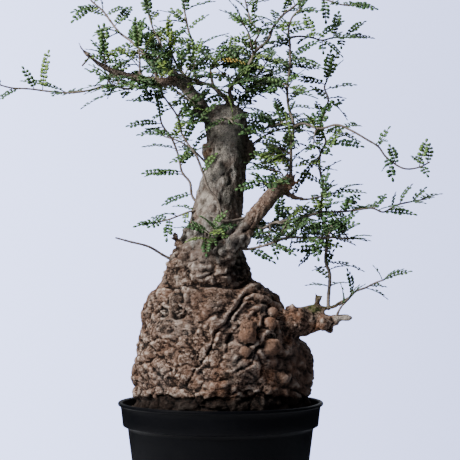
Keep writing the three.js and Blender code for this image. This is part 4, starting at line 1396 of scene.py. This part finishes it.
def leafy_twig(shell, centres, random, spacing, first):
    """Leaves set round a twig at even steps, each turned on from the last, and one at its end."""
    lengths = lengths_along(centres)

    def at(place):
        return np.array([np.interp(place, lengths, column) for column in centres.T])

    place = lengths[-1] * first + spacing * random.uniform(0.3, 1)
    turn = random.uniform(0, 2 * math.pi)
    while place < lengths[-1]:
        foot = at(place)
        ahead = at(place + 1) - foot
        if np.linalg.norm(ahead) < 1e-6:
            ahead = centres[-1] - centres[-2]
        ahead = unit(ahead)
        across = unit(np.cross(ahead, TWIG_BACK))
        out = across * math.cos(turn) + np.cross(ahead, across) * math.sin(turn)
        out = unit(out * LEAF_SPREAD + ahead * random.uniform(*LEAF_AHEAD) + LEAF_LIFT)
        out[2] = max(out[2], LOWEST_DROOP)
        tip = foot + out * random.uniform(*LEAF_REACH)
        if has_room(tip):
            leaf_to(shell, foot, tip, random, LEAF_ROLL)
        turn += LEAF_TURN + random.uniform(*UNEVEN_TURN)
        place += spacing * random.uniform(*UNEVEN_SPACING)
    ahead = unit(centres[-1] - centres[-3])
    ahead[2] = max(ahead[2], LOWEST_DROOP)
    tip = centres[-1] + ahead * random.uniform(*LEAF_REACH) * 0.9
    if has_room(tip):
        leaf_to(shell, centres[-1], tip, random, LEAF_ROLL)


def stem_spray(name, random, materials):
    """One leafy stem: its knobbly twig, the leaves that the frame has, and more between them."""
    radii, points, tips = STEMS[name]
    shell = Shell()
    route = Route([seen(point) for point in points])
    centres = route.samples(STEM_STEP)
    shares = np.linspace(0, 1, len(centres))
    collar = 1 + STEM_COLLAR * bell(shares * route.length() / COLLAR_LENGTH)
    stem_radii = radii_along(radii, centres) * collar
    shell.add(*tube(centres, twig_radii(centres, stem_radii, len(name)), STEM_SIDES))
    for share, *tip in tips:
        leaf_to(shell, route.at(min(share, LAST_LEAF_AT)), seen(tip), random, STEM_LEAF_ROLL)
    leafy_twig(shell, centres, random, *STEM_LEAVES.get(name, USUAL_LEAVES))
    for x, z in EXTRA_TIPS.get(name, []):
        away = np.hypot(centres[:, 0] - x, centres[:, 2] - z) + 0.2 * np.abs(centres[:, 2] - z)
        foot = centres[away.argmin()]
        end = seen([x, z, foot[1] + random.uniform(*EXTRA_DEPTHS)])
        if EXTRA_LENGTHS[0] < np.linalg.norm(end - foot) < EXTRA_LENGTHS[1]:
            leaf_to(shell, foot, end, random, EXTRA_LEAF_ROLL)
    piece = shell.piece(f"spray_{name}", materials, "youth")
    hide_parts(f"stem_{name}")
    return piece


def skeleton():
    """Places on the limbs and stems that a side twig can grow from."""
    places = [seen_samples(LIMBS[name][1], 3) for name in TWIGGY_LIMBS]
    places += [seen_samples(route, 3)[2:] for radii, route, tips in STEMS.values()]
    return np.vstack(places)


def side_sprays(name, masses, random, materials):
    """Short leafy side twigs that fill the thick masses of leaves."""
    shell = Shell()
    places = skeleton()
    for *ranges, count in masses:
        for _ in range(count):
            end = seen([random.uniform(*span) for span in ranges])
            distances = np.linalg.norm((places - end) * [1, 0.8, 1], axis=1)
            distances[distances < SHORTEST_TWIG] = 1e9
            foot = places[distances.argmin()]
            bend = np.array([random.uniform(*span) for span in SIDE_TWIG_BEND])
            centres = Route([foot, (foot + end) / 2 + bend, end]).samples(SIDE_TWIG_STEP)
            radii = twig_radii(centres, np.linspace(*SIDE_TWIG_RADII, len(centres)), len(shell.faces) % 7)
            shell.add(*tube(centres, radii, SIDE_TWIG_SIDES))
            leafy_twig(shell, centres, random, *SIDE_TWIG_LEAVES)
    return shell.piece(name, materials, "youth")


# Pot and potting mix


def turned(profile, turns):
    """A closed body turned round the upright axis, from the middle to the middle."""
    shell = Shell()
    rings = [oval(round_angles(turns), radius, radius, height) for radius, height in profile[1:-1]]
    ends = [[0, 0, profile[0][1]], [0, 0, profile[-1][1]]]
    shell.add(np.vstack([*rings, ends]), ring_faces(len(rings), turns))
    return shell


def pot_piece(material):
    """The pot, with drain holes cut through its floor."""
    piece = turned(POT_PROFILE, POT_TURNS).piece("pot_body", [material])
    drills = Shell()
    for hole in range(DRAIN_HOLES):
        angle = 2 * math.pi * (hole + 0.5) / DRAIN_HOLES
        place = np.array([math.cos(angle), math.sin(angle), 0]) * DRAIN_CIRCLE_RADIUS
        low, high = DRILL_HEIGHTS
        drill = turned([[0, low], [DRAIN_RADIUS, low], [DRAIN_RADIUS, high], [0, high]], DRAIN_TURNS)
        drills.add(drill.corners[0] + place, drill.faces)
    cutter = drills.piece("drills", [])
    cut = piece.modifiers.new("holes", "BOOLEAN")
    cut.object = cutter
    cut.solver = "EXACT"
    mesh = evaluated(piece)
    bpy.data.objects.remove(cutter)
    mesh.polygons.foreach_set("use_smooth", [True] * len(mesh.polygons))
    mesh.set_sharp_from_angle(angle=math.radians(SHARP_ANGLE))
    return piece


def body_outline(angle, height):
    """Where the swollen base's side is, at an angle and height."""
    middle, half, depth = body_oval(height)
    return middle + math.cos(angle) * half, math.sin(angle) * depth


def mix_piece(material):
    """Potting mix with a grainy top, closed, with the root crown's own room in its middle."""
    angles = round_angles(MIX_TURNS)

    def level(flat, height):
        return np.column_stack([flat, np.full(MIX_TURNS, height)])

    def beside_wood(height):
        return np.array([body_outline(angle, height) for angle in angles]) * WOOD_ROOM

    rings = [oval(angles, radius, radius, height) for height, radius in MIX_FOOT + MIX_WALL]
    first_top = len(rings) - 1
    wall = rings[-1][:, :2]
    edge = beside_wood(MIX_TOP)
    for share in np.linspace(0, 1, MIX_RINGS)[1:]:
        rings.append(level(wall * (1 - share) + edge * share, MIX_TOP))
    rings += [level(beside_wood(height), height) for height in MIX_ROOM_HEIGHTS]
    for ring in rings[first_top:first_top + MIX_RINGS]:
        coarse = cobbles(ring, 4.2, 201, 0.4) + 0.6 * layered_noise(ring / 9, 205, 3)
        ring[:, 2] += MIX_GRAIN * (coarse - 0.5)
    shell = Shell()
    shell.add(np.vstack([*rings, MIX_ENDS]), ring_faces(len(rings), MIX_TURNS))
    return shell.piece("potting_mix", [material])


def crumb(shell, centre, size, random):
    """One small angular lump."""
    turns = round_angles(CRUMB_SIDES) + random.uniform(0, 1)
    rings = []
    for tilt in CRUMB_TILTS:
        reach = math.cos(tilt) * np.array([random.uniform(*CRUMB_REACH) for _ in turns])
        rings.append(oval(turns, reach, reach, math.sin(tilt)))
    corners = np.vstack([*rings, [[0, 0, -CRUMB_POLE]], [[0, 0, CRUMB_POLE]]])
    stretch = np.array([random.uniform(*span) for span in CRUMB_STRETCH])
    turn = random.uniform(0, math.pi)
    spin = np.array([[math.cos(turn), -math.sin(turn), 0], [math.sin(turn), math.cos(turn), 0], [0, 0, 1]])
    shell.add((corners * stretch * size) @ spin.T + centre, ring_faces(len(rings), CRUMB_SIDES))


def crumbs(name, count, sizes, lift, random, material):
    """Loose lumps on the mix between the wood and the pot."""
    shell = Shell()
    for _ in range(count):
        angle = random.uniform(0, 2 * math.pi)
        inner = np.linalg.norm(body_outline(angle, MIX_TOP))
        reach = random.uniform(inner + 0.5, CRUMBS_END)
        size = random.uniform(*sizes)
        height = MIX_TOP + lift * size + random.uniform(0, 1.2)
        crumb(shell, [math.cos(angle) * reach, math.sin(angle) * reach, height], size, random)
    return shell.piece(name, [material], smooth=False)


# Materials


class Nodes:
    """The nodes of a material or the world, with short ways to add and join them."""

    def __init__(self, owner, place="Object"):
        owner.use_nodes = True
        self.owner = owner
        self.tree = owner.node_tree
        self.place = self.add("ShaderNodeTexCoord", place)

    def feed(self, node, inputs):
        """Joins each input to a socket, or sets it to a value."""
        for name, value in inputs.items():
            socket = node.inputs[name]
            if isinstance(value, bpy.types.NodeSocket):
                self.tree.links.new(value, socket)
            elif socket.type == "RGBA":
                socket.default_value = (*value, 1)
            else:
                socket.default_value = value

    def add(self, kind, output, inputs=None, **settings):
        """A new node's output."""
        node = self.tree.nodes.new(kind)
        for name, value in settings.items():
            setattr(node, name, value)
        self.feed(node, inputs or {})
        return node.outputs[output]

    def value(self, name):
        """A number that is stored at the mesh's corners."""
        return self.add("ShaderNodeAttribute", "Fac", attribute_name=name)

    def stretched(self, scale):
        return self.add("ShaderNodeMapping", "Vector", {"Vector": self.place, "Scale": scale})

    def warped(self, scale, reach):
        """The object's own coordinates, pushed about by noise."""
        noise = self.add("ShaderNodeTexNoise", "Color", {"Vector": self.place, "Scale": scale, "Detail": 3})
        inputs = {0: noise, 1: (reach, reach, reach), 2: self.place}
        return self.add("ShaderNodeVectorMath", "Vector", inputs, operation="MULTIPLY_ADD")

    def noise(self, scale, detail=4, rough=0.55, place=None):
        inputs = {"Vector": place or self.place, "Scale": scale, "Detail": detail, "Roughness": rough}
        return self.add("ShaderNodeTexNoise", "Fac", inputs)

    def cells(self, scale, feature="F1", place=None):
        inputs = {"Vector": place or self.place, "Scale": scale}
        return self.add("ShaderNodeTexVoronoi", "Distance", inputs, feature=feature)

    def ramp(self, value, stops):
        """A colour that runs through stops, each a place and a colour, as the value grows."""
        colour = self.add("ShaderNodeValToRGB", "Color", {"Fac": value})
        elements = colour.node.color_ramp.elements
        while len(elements) < len(stops):
            elements.new(0.5)
        for element, (place, tint) in zip(elements, stops):
            element.position = place
            element.color = (*tint, 1)
        return colour

    def spread(self, value, low, high, bottom=0.0, top=1.0):
        """The value's range from low to high, spread from bottom to top."""
        inputs = {"Value": value, "From Min": low, "From Max": high, "To Min": bottom, "To Max": top}
        return self.add("ShaderNodeMapRange", "Result", inputs)

    def drift(self, noise, bottom, top):
        """A number that drifts from bottom to top with a noise."""
        return self.spread(noise, 0.3, 0.7, bottom, top)

    def math(self, kind, a, b):
        return self.add("ShaderNodeMath", "Value", {0: a, 1: b}, operation=kind)

    def mix(self, share, a, b, blend="MIX"):
        inputs = {"Factor": share, MIX_FIRST: a, MIX_SECOND: b}
        return self.add("ShaderNodeMix", MIX_RESULT, inputs, data_type="RGBA", blend_type=blend)

    def tinted(self, colour, share, strength, tint):
        """The colour, partly replaced by a tint where the share is high."""
        return self.mix(self.math("MULTIPLY", share, strength), colour, tint)

    def bump(self, height, distance, strength=1.0, normal=None):
        inputs = {"Height": height, "Distance": distance, "Strength": strength}
        if normal:
            inputs["Normal"] = normal
        return self.add("ShaderNodeBump", "Normal", inputs)

    def finish(self, colour, roughness, normal=None, gloss=0.5):
        """The finished material."""
        inputs = {"Base Color": colour, "Roughness": roughness, "Specular IOR Level": gloss}
        if normal:
            inputs["Normal"] = normal
        self.feed(self.tree.nodes["Principled BSDF"], inputs)
        return self.owner


def painted(name):
    return Nodes(bpy.data.materials.new(name))


def bark_material():
    """Bark from the relief: dark cracks, brown sides and pale grey-beige tops, crusty all over. It is darker
    in the hollows and paler on the tops partly as the bark's own colour and partly as painted shade and
    light.
    """
    n = painted("bark")
    crust = n.noise(330, 8, 0.78, n.stretched((0.75, 0.75, 1.5)))
    chips = n.noise(620, 6, 0.72)
    trunk = n.value("trunk")
    calm = n.math("MAXIMUM", n.math("MAXIMUM", trunk, n.value("pale")), n.value("smooth"))
    grain = n.math("ADD", n.drift(crust, -0.52, 0.52), n.drift(chips, -0.24, 0.24))
    cracks = n.spread(n.cells(190, "DISTANCE_TO_EDGE", n.warped(120, 0.011)), 0.0, 0.09, -0.4, 0.02)
    cracks = n.math("MULTIPLY", cracks, n.spread(n.noise(70, 3), 0.42, 0.56))
    rough = n.math("MULTIPLY", n.math("ADD", grain, cracks), n.spread(calm, 0, 1, 1.0, 0.38))
    relief = n.math("ADD", n.value("relief"), rough)
    # Colour by relief, from dark cracks to pale tops: partly the bark's own colour, partly painted shade and
    # light.
    brown_bark = n.ramp(relief, [
        (0.0, (0.010, 0.006, 0.005)), (0.22, (0.042, 0.026, 0.019)), (0.46, (0.15, 0.094, 0.068)),
        (0.72, (0.345, 0.252, 0.203)), (1.0, (0.62, 0.525, 0.455)),
    ])
    grey_bark = n.ramp(relief, [
        (0.0, (0.014, 0.012, 0.010)), (0.25, (0.065, 0.056, 0.048)), (0.5, (0.165, 0.147, 0.13)),
        (0.76, (0.335, 0.31, 0.28)), (1.0, (0.57, 0.54, 0.50)),
    ])
    colour = n.mix(trunk, brown_bark, grey_bark)
    colour = n.tinted(colour, n.spread(n.noise(55, 4, 0.6), 0.42, 0.66), 0.5, (0.19, 0.105, 0.072))
    colour = n.tinted(colour, n.spread(n.noise(38, 5, 0.6), 0.5, 0.7), 0.45, (0.16, 0.15, 0.145))
    lichen = n.spread(n.noise(75, 6, 0.7, n.stretched((1, 1, 0.5))), 0.56, 0.66)
    colour = n.tinted(colour, lichen, n.spread(trunk, 0, 1, 0.15, 0.8), (0.58, 0.55, 0.505))
    grime = n.spread(n.noise(48, 6, 0.65, n.stretched((1, 1, 0.35))), 0.5, 0.62)
    colour = n.tinted(colour, grime, n.spread(trunk, 0, 1, 0.22, 0.68), (0.045, 0.044, 0.036))
    for name, strength, tint in BARK_TINTS:
        colour = n.tinted(colour, n.value(name), strength, tint)
    # Painted shade: the colour is darkened wherever the relief is low, in the pits, cracks and hollows.
    shade = n.ramp(n.spread(relief, 0.02, 0.38, 0.16, 1.0), [(0, (0, 0, 0)), (1, (1, 1, 1))])
    colour = n.mix(1.0, colour, shade, "MULTIPLY")
    normal = n.bump(crust, 0.0026, 0.9)
    normal = n.bump(n.math("ADD", chips, n.cells(700)), 0.0009, 0.8, normal)
    return n.finish(colour, n.drift(n.noise(300), 0.72, 0.95), normal, 0.16)


def twig_material():
    """Thin bark: dark brown, with pale scars."""
    n = painted("twig_bark")
    patches = n.noise(260, 5, 0.65)
    colour = n.ramp(patches, [
        (0.3, (0.05, 0.039, 0.032)), (0.5, (0.14, 0.112, 0.092)), (0.68, (0.27, 0.225, 0.185)),
        (0.85, (0.40, 0.35, 0.295)),
    ])
    return n.finish(colour, n.drift(patches, 0.6, 0.85), n.bump(n.noise(1300, 5, 0.6), 0.0003, 0.7))


def leaf_material():
    """Small thick glossy leaflets: dark green when old, yellow-green when young, with patches of painted
    bluish sheen.
    """
    n = painted("leaf")
    place = n.noise(120, 2, 0.5)
    youth = n.math("ADD", n.value("youth"), n.drift(place, -0.06, 0.10))
    colour = n.ramp(youth, [
        (0.0, (0.046, 0.105, 0.038)), (0.14, (0.08, 0.157, 0.05)), (0.35, (0.15, 0.25, 0.06)),
        (0.62, (0.21, 0.30, 0.045)), (0.85, (0.42, 0.37, 0.06)), (1.0, (0.44, 0.26, 0.05)),
    ])
    # Painted sheen: patches of pale bluish grey mixed into the leaf colour, standing in for the reflected
    # surround.
    painted_sheen = n.spread(n.noise(45, 2, 0.5), 0.5, 0.7, 0.0, 0.2)
    colour = n.mix(painted_sheen, colour, (0.16, 0.20, 0.165))
    return n.finish(colour, n.drift(place, 0.34, 0.5), n.bump(n.noise(1500, 3, 0.5), 0.0002, 0.35), 0.36)


def stalk_material():
    """Thin green leaf stalks, a little brown."""
    n = painted("leaf_stalk")
    colour = n.ramp(n.noise(180, 3), [(0.35, (0.03, 0.055, 0.02)), (0.65, (0.10, 0.11, 0.045))])
    return n.finish(colour, n.drift(n.noise(400), 0.5, 0.65))


def pot_material():
    """Black moulded plastic with faint dust and scuffs."""
    n = painted("black_plastic")
    dust = n.spread(n.noise(28, 8, 0.7), 0.48, 0.78)
    specks = n.spread(n.cells(240), 0.0, 0.12, 1.0, 0.0)
    colour = n.tinted((0.0016, 0.0018, 0.0028), dust, 0.35, (0.006, 0.0063, 0.0078))
    colour = n.tinted(colour, specks, n.math("MULTIPLY", dust, 0.4), (0.05, 0.048, 0.046))
    drawn = n.noise(60, 4, 0.5, n.stretched((1, 1, 0.08)))
    normal = n.bump(n.math("ADD", n.noise(1100, 4, 0.6), drawn), 0.0002, 0.35)
    return n.finish(colour, n.spread(dust, 0, 1, 0.42, 0.58), normal, 0.08)


def mix_material():
    """Dark damp potting mix."""
    n = painted("potting_mix")
    colour = n.ramp(n.noise(480, 6, 0.7), [
        (0.3, (0.008, 0.006, 0.005)), (0.55, (0.028, 0.019, 0.013)), (0.8, (0.075, 0.05, 0.034)),
    ])
    return n.finish(colour, n.drift(n.noise(200), 0.8, 0.98), n.bump(n.noise(700, 6, 0.7), 0.0012, 0.9))


def crumb_material():
    """Crumbs of dark bark."""
    n = painted("bark_crumb")
    colour = n.ramp(n.noise(150, 4), [
        (0.35, (0.012, 0.008, 0.006)), (0.55, (0.045, 0.028, 0.018)), (0.75, (0.10, 0.065, 0.042)),
    ])
    return n.finish(colour, n.drift(n.noise(500), 0.75, 0.95), n.bump(n.noise(1200), 0.0004, 0.8))


def pumice_material():
    """Pale pitted stone."""
    n = painted("pumice")
    colour = n.ramp(n.noise(300, 5), [(0.35, (0.30, 0.26, 0.21)), (0.65, (0.58, 0.53, 0.45))])
    return n.finish(colour, n.drift(n.noise(500), 0.8, 0.95), n.bump(n.cells(1500), 0.0004, 0.8))


def floor_material():
    """Pale matt table."""
    n = painted("studio_floor")
    colour = n.ramp(n.noise(3, 2), [(0.3, (0.70, 0.72, 0.77)), (0.7, (0.74, 0.76, 0.81))])
    return n.finish(colour, n.drift(n.noise(9), 0.85, 0.95))


# Studio


def floor():
    """A round table under the pot, with bevelled edges."""
    edge = FLOOR_RADIUS
    shell = turned([[0, -20], [edge - 4, -20], [edge, -16], [edge, -4], [edge - 4, 0], [0, 0]], FLOOR_TURNS)
    thing = shell.piece("studio_floor", [floor_material()])


def area_light(name, place, target, size, power, colour):
    data = bpy.data.lights.new(name, "AREA")
    data.shape = "DISK"
    data.size = size
    data.energy = power
    data.color = colour
    lamp = bpy.data.objects.new(name, data)
    lamp.location = place
    lamp.rotation_euler = (Vector(target) - Vector(place)).to_track_quat("-Z", "Y").to_euler()
    bpy.context.scene.collection.objects.link(lamp)


def backdrop():
    """A plain pale blue-grey surround, a little brighter to the left. What it sheds comes from above."""
    world = bpy.data.worlds.new("studio")
    bpy.context.scene.world = world
    n = Nodes(world, "Generated")
    n.tree.nodes.remove(n.tree.nodes["Background"])
    upward = n.add("ShaderNodeSeparateXYZ", "Z", {"Vector": n.place})
    sideways = upward.node.outputs["X"]
    seen_plainly = n.add("ShaderNodeLightPath", "Is Camera Ray")

    def glow(direction, low, high, stops, strength):
        colour = n.ramp(n.spread(direction, low, high), stops)
        return n.add("ShaderNodeBackground", "Background", {"Color": colour, "Strength": strength})

    shaders = {0: seen_plainly, 1: glow(upward, *SURROUND), 2: glow(sideways, *BACKDROP)}
    n.feed(n.tree.nodes["World Output"], {"Surface": n.add("ShaderNodeMixShader", "Shader", shaders)})


def camera():
    data = bpy.data.cameras.new("camera")
    data.lens = LENS
    data.sensor_width = SENSOR
    thing = bpy.data.objects.new("camera", data)
    thing.location = np.array([VIEWER_X, -VIEWER_DISTANCE, VIEWER_Z]) * MM
    thing.rotation_euler = (math.pi / 2, 0, 0)
    bpy.context.scene.collection.objects.link(thing)
    bpy.context.scene.camera = thing


def dress(piece):
    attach(piece, "root")


def make_wood(bark, twig):
    wood = wood_piece(bark)
    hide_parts("wood")
    dress(wood)
    dress(root_crown(bark))
    dress(bare_twigs(twig))


def make_foliage(twig):
    materials = [twig, leaf_material(), stalk_material()]
    random = Random(FOLIAGE_SEED)
    for name in STEMS:
        dress(stem_spray(name, random, materials))
    for name, masses in MASSES.items():
        dress(side_sprays(name, masses, random, materials))


def make_pot():
    random = Random(CRUMB_SEED)
    pot = pot_piece(pot_material())
    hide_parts("pot")
    dress(pot)
    mix = mix_piece(mix_material())
    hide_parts("soil")
    dress(mix)
    dress(crumbs("mix_crumbs", *CRUMBS, random, crumb_material()))
    dress(crumbs("pumice_grains", *PUMICE_GRAINS, random, pumice_material()))


camera()
backdrop()
floor()
for light in LIGHTS:
    area_light(*light)
twig = twig_material()
make_pot()
make_wood(bark_material(), twig)
make_foliage(twig)
